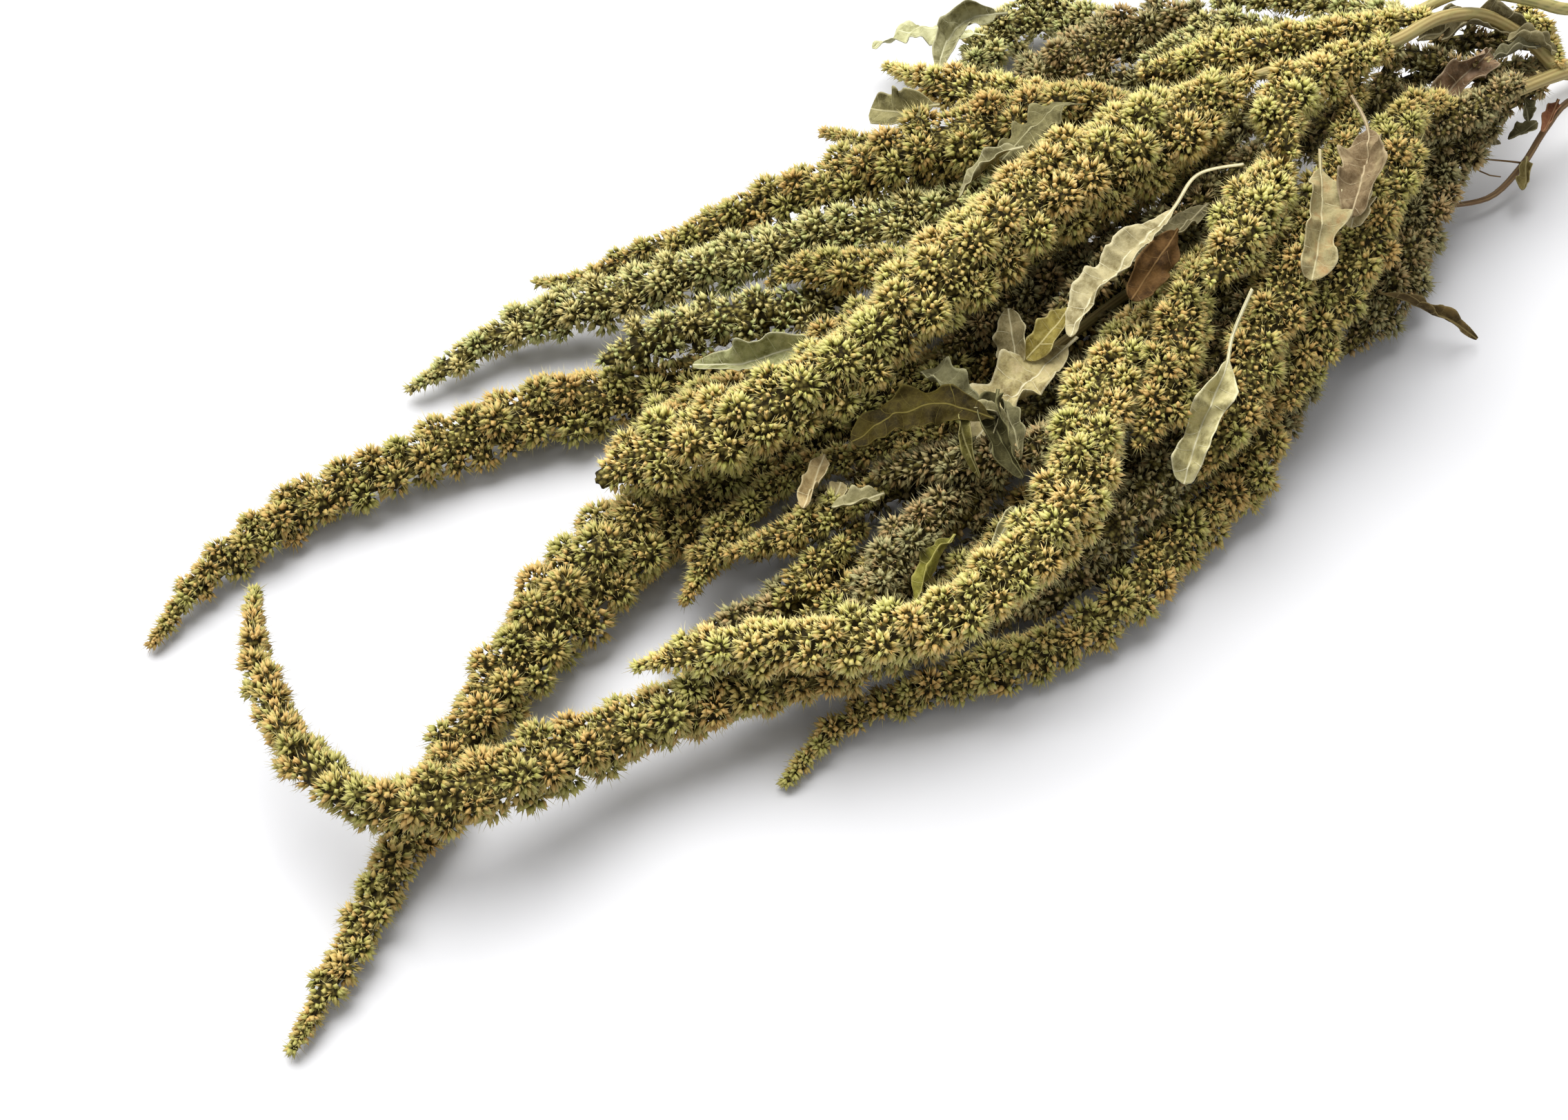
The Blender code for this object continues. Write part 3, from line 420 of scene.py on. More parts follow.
def core_shade_material(tint):
    """The inside of a tassel as painted shade: buds packed about 1.6 mm apart, shadow painted between."""
    material, tree, shader = new_material("dried_core", 0.85, 0.1)
    place = add_node(tree, "ShaderNodeTexCoord").outputs["Object"]
    buds = add_node(tree, "ShaderNodeTexVoronoi", {"Vector": place, "Scale": 620.0}).outputs["Distance"]
    # Painted light on the buds' backs, painted shade on their sides, painted shadow between them.
    colour = add_node(tree, "ShaderNodeValToRGB", {"Fac": buds}, stops=[
        (place, tinted(code, tint)) for place, code in zip((0.12, 0.42, 0.64), CORE_PAINTED_SHADE)])
    tree.links.new(colour.outputs["Color"], shader.inputs["Base Color"])
    bump = add_node(tree, "ShaderNodeBump", {"Height": buds, "Strength": 1.0, "Distance": 0.8 * MM},
                    invert=True)
    tree.links.new(bump.outputs["Normal"], shader.inputs["Normal"])
    return material


def placed(route):
    """A route's rows in metres, from the part's origin."""
    rows = np.array(route, float)
    rows[:, 0] -= MIDDLE_X
    rows[:, 1] -= MIDDLE_Y
    return rows * MM


def finished_mesh(bm, name):
    """A mesh with smooth faces that point outwards, in place of the bmesh."""
    bmesh.ops.recalc_face_normals(bm, faces=bm.faces)
    for face in bm.faces:
        face.smooth = True
    mesh = bpy.data.meshes.new(name)
    bm.to_mesh(mesh)
    bm.free()
    return mesh


def wander(point, scale, offset):
    """Smooth noise between -1 and 1 at a point, with waves of a given length."""
    return noise.noise(Vector(point) / scale + Vector((offset, offset * 0.7, -offset)))


def uneven(kind, point, seed):
    """Smooth noise of one kind at a point."""
    strength, scale, offset = kind
    return strength * wander(point, scale, seed + offset)


def merged_mesh(node):
    """A copy of a solid's mesh with its loose triangles joined, as a bmesh."""
    bm = bmesh.new()
    bm.from_mesh(frame["nodes"][node].data)
    bmesh.ops.remove_doubles(bm, verts=bm.verts, dist=WELD)
    bmesh.ops.recalc_face_normals(bm, faces=bm.faces)
    return bm


def levels_from(start):
    """Vertices by the number of edges between them and the start."""
    seen = {start}
    levels = [[start]]
    while levels[-1]:
        after = []
        for vertex in levels[-1]:
            for edge in vertex.link_edges:
                other = edge.other_vert(vertex)
                if other not in seen:
                    seen.add(other)
                    after.append(other)
        levels.append(after)
    return levels[:-1]


def finer(rows, count):
    """Rows on a smooth curve through the given ones, evenly spread over their number."""
    rows = np.asarray(rows, float)
    place = np.linspace(0.0, len(rows) - 1.0, count)
    k = np.minimum(place.astype(int), len(rows) - 2)
    t = (place - k).reshape(-1, *[1] * (rows.ndim - 1))
    before = rows[np.maximum(k - 1, 0)]
    start = rows[k]
    end = rows[k + 1]
    after = rows[np.minimum(k + 2, len(rows) - 1)]
    bend = 2 * before - 5 * start + 4 * end - after
    twist = 3 * start - before - 3 * end + after
    return 0.5 * (2 * start + (end - before) * t + bend * t**2 + twist * t**3)


def frames_along(centres):
    """Unit vectors (side, up) at each centre of a curve, turned as little as possible."""
    along = np.gradient(centres, axis=0)
    along /= np.linalg.norm(along, axis=1)[:, None]
    side = np.cross((0.0, 0.0, 1.0), along[0])
    sides = []
    for direction in along:
        side = side - direction * np.dot(side, direction)
        side /= np.linalg.norm(side)
        sides.append(side)
    return np.array(sides), np.cross(along, sides)


def travelled(points):
    """Length along a curve up to each of its points."""
    return np.concatenate([[0.0], np.cumsum(np.linalg.norm(np.diff(points, axis=0), axis=1))])


def even_rows(rows, step, fewest):
    """Rows at even steps on the smooth curve through the given ones, and their places."""
    curve = finer(rows, CURVE_POINTS * len(rows))
    travel = travelled(curve[:, :3])
    places = np.linspace(0.0, travel[-1], max(fewest, int(travel[-1] / step)))
    return np.stack([np.interp(places, travel, column) for column in curve.T], axis=1), places


class Spine:
    """A tassel's axis from its foot to its tip, with its radius and directions."""

    def __init__(self, centres, radii):
        travel = travelled(centres)
        self.length = travel[-1]
        count = max(4, int(self.length / SPINE_STEP))
        self.places = np.linspace(0.0, self.length, count)
        self.points = np.stack([np.interp(self.places, travel, c) for c in centres.T], axis=1)
        back = (self.length - self.places) / MM
        self.radii = np.maximum(np.interp(self.places, travel, radii),
                                np.minimum(TIP_RADIUS + TIP_GROWTH * back, TIP_FULL) * MM)
        self.sides, self.ups = frames_along(self.points)
        along = np.gradient(self.points, axis=0)
        self.along = along / np.linalg.norm(along, axis=1)[:, None]

    def at(self, place):
        """(point, radius, along, side, up) at a length along the axis."""
        k = min(int(round(place / self.length * (len(self.places) - 1))), len(self.places) - 1)
        return self.points[k], self.radii[k], self.along[k], self.sides[k], self.ups[k]


def spine_of(node):
    """The spine of a tassel's solid, from the rows of points that circle it."""
    bm = merged_mesh(node)
    bm.verts.ensure_lookup_table()
    rows = [np.array([vertex.co for vertex in level])
            for level in levels_from(levels_from(bm.verts[0])[-1][0])]
    bm.free()
    centres = np.array([row.mean(axis=0) for row in rows])
    reach = [np.linalg.norm(row - centre, axis=1).max() for row, centre in zip(rows, centres)]
    radii = np.array(reach) / CLUSTER_TOP
    radii[0] = radii[1]
    radii[-1] = min(radii[-1], radii[-2])
    if centres[0][0] < centres[-1][0]:
        centres = centres[::-1]
        radii = radii[::-1]
    inner = 0.25 * radii[:-2] + 0.5 * radii[1:-1] + 0.25 * radii[2:]
    radii[1:-1] = np.maximum(inner, radii[1:-1] * KEPT_RADIUS)
    centres[1:-1] = 0.25 * centres[:-2] + 0.5 * centres[1:-1] + 0.25 * centres[2:]
    return Spine(centres, radii)


def cluster_radius(radius):
    """Radius of the ball of florets on a tassel of some radius."""
    return min(CLUSTER_BASE + CLUSTER_SHARE * radius, radius)


def clusters_of(spine, dice):
    """Clusters all over a tassel, none too close to another, as (centre, outward, along, radius)."""
    found = []
    for back in TIP_PLACES:
        point, radius, along, side, up = spine.at(max(spine.length - back * MM, 0.0))
        if back > TIP_END and radius > THINNEST:
            break
        ball = min(TIP_BALL + TIP_BALL_GROWTH * back, TIP_BALL_FULL) * MM
        found.append((point, along, along, ball))
    for _ in range(int(spine.length / MM * TRIES)):
        point, radius, along, side, up = spine.at(dice.uniform(0.0, spine.length))
        angle = dice.uniform(0.0, math.tau)
        ball = cluster_radius(radius) * dice.uniform(*BALL_SPREAD)
        if radius < THINNEST:
            continue
        outward = side * math.cos(angle) + up * math.sin(angle)
        centre = point + outward * (radius * dice.uniform(*REACH_SPREAD) - ball)
        if all(math.dist(centre, other) > PITCH * (ball + size) / 2 for other, _, _, size in found):
            found.append((centre, outward, along, ball))
    return found


def carpet_of(spine, spacing, dice):
    """Places between the clusters, ring by ring, as (points under the tips, outward, along)."""
    points, outs, alongs = [], [], []
    place = 0.5 * spacing
    while place < spine.length:
        point, radius, along, side, up = spine.at(place)
        reach = CARPET_TOP * radius
        count = max(3, round(math.tau * reach / spacing))
        start = dice.uniform(0.0, math.tau)
        for k in range(count):
            angle = start + math.tau * (k + dice.uniform(-CARPET_JITTER, CARPET_JITTER)) / count
            outward = side * math.cos(angle) + up * math.sin(angle)
            shift = dice.uniform(-CARPET_JITTER, CARPET_JITTER)
            points.append(point + outward * reach + along * shift * spacing)
            outs.append(outward)
            alongs.append(along)
        place += ROW_PITCH * spacing
    return np.array(points), np.array(outs), np.array(alongs)


def ball_directions(count, dice):
    """Directions spread evenly over a ball, turned at random."""
    k = np.arange(count) + 0.5
    height = 1.0 - 2.0 * k / count
    angle = k * math.pi * (3.0 - math.sqrt(5.0))
    flat = np.sqrt(1.0 - height**2)
    rays = np.stack([flat * np.cos(angle), flat * np.sin(angle), height], axis=1)
    turn = np.array(Matrix.Rotation(dice.uniform(0, math.tau), 3, "X")
                    @ Matrix.Rotation(dice.uniform(0, math.tau), 3, "Z"))
    return rays @ turn.T


class Florets:
    """Places, directions and looks of the florets on one tassel."""

    def __init__(self, name, spines, shade, settings):
        dice = random.Random(f"{name} {settings.seed}")
        draw = np.random.default_rng(dice.getrandbits(32))
        spine = spines[name]
        points, aims, sizes, tones = [], [], [], []
        sparser = SPARSER if name in DEEP else 1.0
        clusters = clusters_of(spine, dice)
        centres = np.array([cluster[0] for cluster in clusters])
        reaches = np.array([cluster[3] for cluster in clusters])
        for k, (centre, outward, along, ball) in enumerate(clusters):
            fullness = min(ball / FULL_BALL, 1.0)
            spacing = settings.spacing * (THIN_SPACING[0] + THIN_SPACING[1] * fullness) * sparser
            count = max(FEWEST, round(4 * math.pi * ball**2 / (ROW_PITCH * spacing**2)))
            rays = ball_directions(count, dice)
            rays = rays[rays @ outward > BACK_REACH]
            rays = rays + draw.normal(0.0, RAY_SPREAD, rays.shape)
            rays /= np.linalg.norm(rays, axis=1)[:, None]
            others = np.arange(len(clusters)) != k
            apart = np.linalg.norm((centre + rays * ball)[:, None] - centres[None, others], axis=2)
            rays = rays[np.all(apart > SWALLOWED * reaches[None, others], axis=1)]
            size = (THIN_SIZE[0] + THIN_SIZE[1] * fullness) * draw.uniform(*SIZE_SPREAD, len(rays))
            foot = ball - SUNK * settings.floret_length * size
            points.append(centre + rays * np.maximum(foot, 0.0)[:, None])
            leaning = (rays + (THIN_TIPWARD + (TIPWARD - THIN_TIPWARD) * fullness) * along
                       + draw.normal(0.0, AIM_SPREAD, rays.shape))
            aims.append(leaning / np.linalg.norm(leaning, axis=1)[:, None])
            sizes.append(size)
            cluster_tone = dice.gauss(0.0, TONE_SPREAD)
            tones.append(draw.normal(0.5 + cluster_tone, TONE_SPREAD, len(rays)))
        tips, outs, alongs = carpet_of(spine, settings.spacing * CARPET_SPACING * sparser, dice)
        bare = np.all(np.linalg.norm(tips[:, None] - centres[None], axis=2)
                      > CARPET_CLEAR * reaches[None], axis=1)
        tips, outs, alongs = tips[bare], outs[bare], alongs[bare]
        size = CARPET_SIZE * draw.uniform(*SIZE_SPREAD, len(tips))
        leaning = outs + CARPET_LEAN * alongs + draw.normal(0.0, CARPET_AIM_SPREAD, outs.shape)
        leaning /= np.linalg.norm(leaning, axis=1)[:, None]
        points.append(tips - leaning * (settings.floret_length * size)[:, None])
        aims.append(leaning)
        sizes.append(size)
        tones.append(draw.normal(*CARPET_TONE, len(tips)))
        self.points = np.concatenate(points)
        self.aims = np.concatenate(aims)
        self.sizes = np.concatenate(sizes)
        self.tones = np.clip(np.concatenate(tones), 0.0, 1.0)
        self.spins = draw.uniform(0.0, math.tau, len(self.points))
        self.kinds = draw.choice(len(KIND_WEIGHTS), len(self.points), p=KIND_WEIGHTS)
        self.balls = list(zip(centres, reaches))
        self.keep_showing(name, spines, settings.floret_length)
        self.keep_lit(shade, draw, settings.floret_length)

    def keep(self, shown):
        """Keep only some of the florets."""
        for field in ("points", "aims", "sizes", "tones", "spins", "kinds"):
            setattr(self, field, getattr(self, field)[shown])

    def keep_lit(self, shade, draw, length):
        """Drop the florets that no part of the sky reaches, and thin out the underside."""
        tips = self.points + self.aims * (length * self.sizes)[:, None]
        down = self.aims[:, 2] < DOWNWARD
        low = tips[:, 2] < UNDER
        shown = ~(down & (low | (draw.uniform(size=len(tips)) < SPARE_DOWN)))
        rays = [Vector((math.cos(math.radians(a)) * math.cos(math.radians(e)),
                        math.sin(math.radians(a)) * math.cos(math.radians(e)),
                        math.sin(math.radians(e)))) for a, e in SKY]
        for k in np.nonzero(shown)[0]:
            aim = Vector(self.aims[k])
            place = Vector(tips[k])
            shown[k] = any(ray.dot(aim) > FACING and shade.ray_cast(place, ray)[0] is None
                           for ray in rays)
        self.keep(shown)

    def keep_showing(self, name, spines, length):
        """Drop the florets that are inside their own tassel, another one or the floor."""
        tips = self.points + self.aims * (length * self.sizes)[:, None]
        shown = tips[:, 2] > LOWEST_TIP
        for other, spine in spines.items():
            box_low = spine.points.min(axis=0) - spine.radii.max()
            box_high = spine.points.max(axis=0) + spine.radii.max()
            near = np.nonzero(shown & np.all((tips > box_low) & (tips < box_high), axis=1))[0]
            if not len(near):
                continue
            apart = np.linalg.norm(tips[near, None] - spine.points[None], axis=2)
            share = (apart / spine.radii[None]).min(axis=1)
            shown[near[share < (INNER_SHARE if other == name else HIDDEN_SHARE)]] = False
        self.keep(shown)


def shade_of(spines):
    """The tassels as slim tubes, to test what the sky reaches."""
    bm = bmesh.new()
    for spine in spines.values():
        shape = np.ones((len(spine.points), SHADE_SIDES))
        add_tube(bm, spine.points, SHADE_SHARE * spine.radii, shape)
    tree = bvhtree.BVHTree.FromBMesh(bm)
    bm.free()
    return tree


def set_attribute(mesh, name, kind, values):
    """A named attribute on a mesh's points."""
    attribute = mesh.attributes.new(name, kind, "POINT")
    field = "vector" if kind == "FLOAT_VECTOR" else "value"
    attribute.data.foreach_set(field, np.ascontiguousarray(values).ravel())


def add_bud(bm, sides, width, length, belly):
    """A slim closed bud, widest at a share of its length."""
    above = bmesh.ops.create_cone(bm, cap_ends=False, segments=sides, radius1=width / 2,
                                  radius2=0.0, depth=length * (1.0 - belly))["verts"]
    bmesh.ops.translate(bm, verts=above, vec=(0, 0, length * (1.0 + belly) / 2))
    below = bmesh.ops.create_cone(bm, cap_ends=False, segments=sides, radius1=0.0,
                                  radius2=width / 2, depth=length * belly)["verts"]
    bmesh.ops.translate(bm, verts=below, vec=(0, 0, length * belly / 2))


def add_bristle(bm, width, length, lean, turn, lift):
    """A slim closed spike that leans out; returns its vertices."""
    spike = bmesh.ops.create_cone(bm, cap_ends=True, segments=3, radius1=width / 2,
                                  radius2=0.0, depth=length)["verts"]
    bmesh.ops.translate(bm, verts=spike, vec=(0, 0, length / 2))
    bmesh.ops.rotate(bm, verts=spike, cent=(0, 0, 0), matrix=Matrix.Rotation(lean, 3, "X"))
    bmesh.ops.rotate(bm, verts=spike, cent=(0, 0, 0), matrix=Matrix.Rotation(turn, 3, "Z"))
    bmesh.ops.translate(bm, verts=spike, vec=(0, 0, lift))
    return spike


def floret_template(name, sides, bud_width, scales, bristles, settings):
    """One floret: a pointed bud with scales and bristles beside it, standing along +Z."""
    bm = bmesh.new()
    tip_layer = bm.verts.layers.float.new("tip")
    bristle_layer = bm.verts.layers.float.new("bristle")
    length = settings.floret_length
    if sides:
        add_bud(bm, sides, bud_width, length, BELLY)
    for lean, turn, share in scales:
        add_bristle(bm, SCALE_WIDTH, length * share, lean, turn, SCALE_LIFT * length)
    bmesh.ops.remove_doubles(bm, verts=bm.verts[:], dist=FLORET_WELD)
    for lean, turn, share in bristles:
        for vertex in add_bristle(bm, BRISTLE_WIDTH, settings.bristle_length * share,
                                  lean, turn, BRISTLE_LIFT * length):
            vertex[bristle_layer] = 1.0
    for vertex in bm.verts:
        full = settings.bristle_length if vertex[bristle_layer] else length
        vertex[tip_layer] = vertex.co.z / full
    return bpy.data.objects.new(name, finished_mesh(bm, name))


def floret_templates(settings):
    """A collection of floret shapes to scatter, outside the scene."""
    wide = settings.floret_width
    shapes = (("floret_a", 3, 1.04 * wide, ((0.34, 3.7, 0.9),), ((0.46, 0.6, 1.0),)),
              ("floret_b", 3, 0.95 * wide, (), ((0.38, 2.4, 0.95), (0.50, 5.2, 0.85))),
              ("floret_c", 4, 1.12 * wide, (), ()),
              ("floret_d", 0, 0.0, ((0.26, 1.1, 1.0), (0.30, 3.3, 0.9)), ((0.24, 5.3, 1.05),)))
    collection = bpy.data.collections.new("floret_shapes")
    for name, sides, width, scales, bristles in shapes:
        collection.objects.link(floret_template(name, sides, width, scales, bristles, settings))
    return collection


def scatter_group(collection):
    """Geometry nodes that stand a floret on each point and make the florets real."""
    tree = bpy.data.node_groups.new("scatter_florets", "GeometryNodeTree")
    tree.interface.new_socket("Geometry", in_out="INPUT", socket_type="NodeSocketGeometry")
    tree.interface.new_socket("Geometry", in_out="OUTPUT", socket_type="NodeSocketGeometry")

    fields = {}
    for name, kind in (("aim", "FLOAT_VECTOR"), ("spin", "FLOAT"), ("size", "FLOAT"), ("kind", "INT")):
        node = add_node(tree, "GeometryNodeInputNamedAttribute", {"Name": name}, data_type=kind)
        fields[name] = next(socket for socket in node.outputs if socket.enabled)
    points = add_node(tree, "NodeGroupInput").outputs["Geometry"]
    shapes = add_node(tree, "GeometryNodeCollectionInfo",
                      {"Collection": collection, "Separate Children": True, "Reset Children": True})
    aimed = add_node(tree, "FunctionNodeAlignRotationToVector",
                     {"Vector": fields["aim"]}, axis="Z")
    spin = add_node(tree, "FunctionNodeAxisAngleToRotation",
                    {"Axis": (0.0, 0.0, 1.0), "Angle": fields["spin"]})
    turned = add_node(tree, "FunctionNodeRotateRotation",
                      {"Rotation": aimed.outputs[0], "Rotate By": spin.outputs[0]},
                      rotation_space="LOCAL")
    placed = add_node(tree, "GeometryNodeInstanceOnPoints",
                      {"Points": points, "Instance": shapes.outputs[0], "Pick Instance": True,
                       "Instance Index": fields["kind"], "Rotation": turned.outputs[0],
                       "Scale": fields["size"]})
    real = add_node(tree, "GeometryNodeRealizeInstances", {"Geometry": placed.outputs[0]})
    add_node(tree, "NodeGroupOutput", {"Geometry": real.outputs[0]})
    return tree


def applied_mesh(piece):
    """The piece's mesh with its modifiers applied, in place of its own."""
    bpy.context.view_layer.update()
    shown = piece.evaluated_get(bpy.context.evaluated_depsgraph_get())
    mesh = bpy.data.meshes.new_from_object(shown, preserve_all_data_layers=True,
                                           depsgraph=bpy.context.evaluated_depsgraph_get())
    piece.modifiers.clear()
    piece.data = mesh
    mesh.name = piece.name
    return mesh


def new_piece(name, mesh):
    """An object of a mesh, at the origin of the scene."""
    piece = bpy.data.objects.new(name, mesh)
    bpy.context.scene.collection.objects.link(piece)
    return piece


def add_tube(bm, points, radii, shape):
    """A closed tube through the points, made by pulling a ring along them; returns its rings.

    The shape gives each point's share of the radius from its row and column.
    """
    sides, ups = frames_along(points)
    columns = shape.shape[1]
    ring = bmesh.ops.create_circle(bm, cap_ends=True, segments=columns, radius=1.0)["verts"]
    rings = []
    for row, (point, radius, side, up) in enumerate(zip(points, radii, sides, ups)):
        if row:
            inside = set(ring)
            edges = {e for v in ring for e in v.link_edges if e.other_vert(v) in inside}
            made = bmesh.ops.extrude_edge_only(bm, edges=list(edges))["geom"]
            pulled = {}
            for vertex in made:
                if isinstance(vertex, bmesh.types.BMVert):
                    before = next(o for o in (e.other_vert(vertex) for e in vertex.link_edges)
                                  if o in inside)
                    pulled[before] = vertex
            ring = [pulled[vertex] for vertex in ring]
        for column, vertex in enumerate(ring):
            angle = math.tau * column / columns
            reach = radius * shape[row, column]
            vertex.co = Vector(point + (side * math.cos(angle) + up * math.sin(angle)) * reach)
        rings.append(ring)
    bmesh.ops.contextual_create(bm, geom=ring)
    return rings


def build_core(name, spine, balls):
    """The inside of a tassel, dark with painted shade: an uneven stalk and the hearts of its clusters."""
    bm = bmesh.new()
    dice = np.random.default_rng(len(name) + int(spine.length / MM))
    shape = dice.uniform(*CORE_SPREAD, (len(spine.points), CORE_SIDES))
    add_tube(bm, spine.points, CORE_SHARE * (spine.radii - CORE_LESS), shape)
    for centre, reach in balls:
        heart = bmesh.ops.create_icosphere(bm, subdivisions=1, radius=HEART * reach)["verts"]
        bmesh.ops.translate(bm, verts=heart, vec=centre)
    for vertex in bm.verts:
        vertex.co.z = max(vertex.co.z, ABOVE_FLOOR)
    return finished_mesh(bm, f"{name}_core")


def build_tassel(name, slot, spines, shade, settings, group, materials):
    """One tassel: its core and its florets, as one piece."""
    florets = Florets(name, spines, shade, settings)
    mesh = bpy.data.meshes.new(f"{name}_florets")
    mesh.vertices.add(len(florets.points))
    mesh.vertices.foreach_set("co", florets.points.ravel())
    set_attribute(mesh, "aim", "FLOAT_VECTOR", florets.aims)
    set_attribute(mesh, "size", "FLOAT", florets.sizes)
    set_attribute(mesh, "spin", "FLOAT", florets.spins)
    set_attribute(mesh, "tone", "FLOAT", florets.tones)
    set_attribute(mesh, "kind", "INT", florets.kinds.astype(np.int32))
    piece = new_piece(f"{name}_flowers", mesh)
    scatter = piece.modifiers.new("scatter", "NODES")
    scatter.node_group = group
    mesh = applied_mesh(piece)
    for field in ("aim", "size", "spin", "kind"):
        if field in mesh.attributes:
            mesh.attributes.remove(mesh.attributes[field])
    mesh.materials.clear()
    for material in materials[slot]:
        mesh.materials.append(material)
    core = build_core(name, spines[name], florets.balls)
    bm = bmesh.new()
    bm.from_mesh(mesh)
    for vertex in bm.verts:
        vertex.co.z = max(vertex.co.z, FLORET_FLOOR)
    before = len(bm.faces)
    bm.from_mesh(core)
    bm.faces.ensure_lookup_table()
    for face in bm.faces[before:]:
        face.material_index = 1
    bm.to_mesh(mesh)
    bm.free()
    bpy.data.meshes.remove(core)
    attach(piece, "root")
    if name in frame["nodes"]:
        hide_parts(name)


class AMARANTH_OT_flowers(bpy.types.Operator):
    """Cover every tassel with clusters of florets and bristles"""

    bl_idname = "amaranth.flowers"
    bl_label = "Build the tassels"

    def execute(self, context):
        settings = context.scene.amaranth_flowers
        names = sorted(node for node in frame["nodes"] if node.startswith("tassel_"))
        spines = {name: spine_of(name) for name in names}
        slots = {name: SLOTS[name] for name in names}
        for name, (slot, route) in FILLERS.items():
            rows, _ = even_rows(placed(route), SPINE_STEP, 6)
            spines[name] = Spine(rows[:, :3], rows[:, 3])
            slots[name] = slot
        shade = shade_of(spines)
        templates = floret_templates(settings)
        group = scatter_group(templates)
        core = core_shade_material(settings.tint)
        materials = {slot: (bract_material(slot, settings.tint), core) for slot in BRACT_COLOURS}
        for name, slot in slots.items():
            build_tassel(name, slot, spines, shade, settings, group, materials)
        bpy.data.node_groups.remove(group)
        for shape in list(templates.objects):
            bpy.data.objects.remove(shape, do_unlink=True)
        bpy.data.collections.remove(templates)
        return {"FINISHED"}


def leaf_outline(leaf, share):
    """The blade's width along its rows, as a share of its widest."""
    blade = np.clip((share - leaf.stalk) / (1.0 - leaf.stalk), 0.0, 1.0)
    if leaf.blunt:
        grow = np.sin(0.5 * math.pi * np.minimum(blade / BLUNT_GROWN, 1.0))
        full = grow**OUTLINE_FULLNESS * np.sqrt(1.0 - blade**leaf.blunt)
    else:
        full = np.sin(math.pi * blade**OUTLINE_SKEW) ** OUTLINE_FULLNESS
    full[blade <= 0.0] = 0.0
    return full


def build_leaf(node, leaf, settings):
    """A thin crumpled blade with ribbed veins, and a ruffled edge that curls."""
    centres, travel = even_rows(placed(leaf.route), BLADE_STEP, 12)
    rows = len(centres) - 1
    share = travel / travel[-1]
    centres[:, 2] += np.interp(share, np.linspace(0, 1, len(leaf.drops)), leaf.drops) * MM
    side, up = frames_along(centres)
    roll = np.radians(leaf.roll + leaf.twist * (share - 0.5))[:, None]
    across = side * np.cos(roll) + up * np.sin(roll)
    above = up * np.cos(roll) - side * np.sin(roll)
    full = leaf_outline(leaf, share)
    widest = leaf.half * MM
    half = STALK_HALF + (widest - STALK_HALF) * full
    lines = max(6, 2 * int(widest / BLADE_STEP))
    seed = sum(map(ord, node)) % NOISE_PLACES
    spacing = settings.vein_spacing

    bm = bmesh.new()
    bmesh.ops.create_grid(bm, x_segments=lines, y_segments=rows, size=1.0)
    layers = {name: bm.verts.layers.float.new(name) for name in ("across", "edge", "vein", "crease")}
    for vertex in bm.verts:
        row = round((vertex.co.y + 1) / 2 * rows)
        place = vertex.co.x
        right = float(place > 0)
        here = (travel[row], right * HALF_APART, 0)
        ripple = math.sin(RIPPLE_TURN * share[row] * leaf.rows + leaf.phase + RIPPLE_SHIFT * right)
        tooth = leaf.ragged * place**2 * (uneven(SMALL_TEETH, here, seed)
                                          + uneven(LARGE_TEETH, here, seed))
        reach = half[row] * place * (1.0 + (RIPPLE_REACH * ripple + tooth) * full[row])
        rise = half[row] * full[row] * (leaf.fold * abs(place) + leaf.wave * ripple * place**2)
        curl = leaf.curl * full[row] * (1.0 + uneven(CURL_CHANGE, here, seed))
        if abs(curl) > LEAST_CURL:
            rise += half[row] * (1.0 - math.cos(curl * place)) / curl
            reach *= math.sin(curl * abs(place)) / (curl * abs(place)) if place else 1.0
        frill = math.sin(math.tau * travel[row] / (leaf.frill * MM)
                         + uneven(FRILL_SHIFT, here, seed) + FRILL_SIDE * right)
        frill *= FRILL_LEAST + uneven(FRILL_CHANGE, here, seed)
        rise += (RUFFLE_SHARE * leaf.ruffle * MM * full[row] * place**2
                 * (FRILL_SHARE * frill + uneven(EDGE_SWELL, here, seed)
                    + uneven(EDGE_GRAIN, here, seed)))
        point = centres[row] + across[row] * reach
        fold = abs(uneven(FOLDS, point, seed))
        crack = abs(uneven(CRACKS, point, seed))
        rise += leaf.crumple * MM * full[row] * (CRUMPLE_TOP - FOLD_DEPTH * fold - CRACK_DEPTH * crack)
        mark = (travel[row] - VEIN_SLANT * abs(reach) * (1.0 - VEIN_BEND * abs(place))
                + right * VEIN_STAGGER * spacing + uneven(VEIN_WANDER, point, seed))
        vein = math.sin(math.pi * mark / spacing)
        rise -= QUILT * full[row] * math.exp(-(vein / VEIN_CREASE)**2) * min(abs(place) * VEIN_START, 1)
        rise -= RIB_DEPTH * QUILT * full[row] * math.exp(-(reach / RIB_HALF)**2)
        vertex.co = Vector(centres[row] + across[row] * reach + above[row] * rise)
        vertex.co.z = max(vertex.co.z, ABOVE_FLOOR)
        # The crease value is highest along the sharp folds, where the colour gets painted shade.
        for name, value in (("across", abs(place) * half[row] / MM), ("edge", abs(place)), ("vein", vein),
                            ("crease", max(0.0, 1.0 - CREASE_EDGE * min(fold, CREASE_CRACK * crack)))):
            vertex[layers[name]] = value
    mesh = finished_mesh(bm, f"{node}_blade")
    piece = new_piece(f"{node}_blade", mesh)
    wall = piece.modifiers.new("thickness", "SOLIDIFY")
    wall.thickness = settings.thickness
    wall.offset = 0.0
    mesh.materials.append(leaf_material(node, leaf, settings.tint))
    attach(piece, "root")
    if node in frame["nodes"]:
        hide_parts(node)


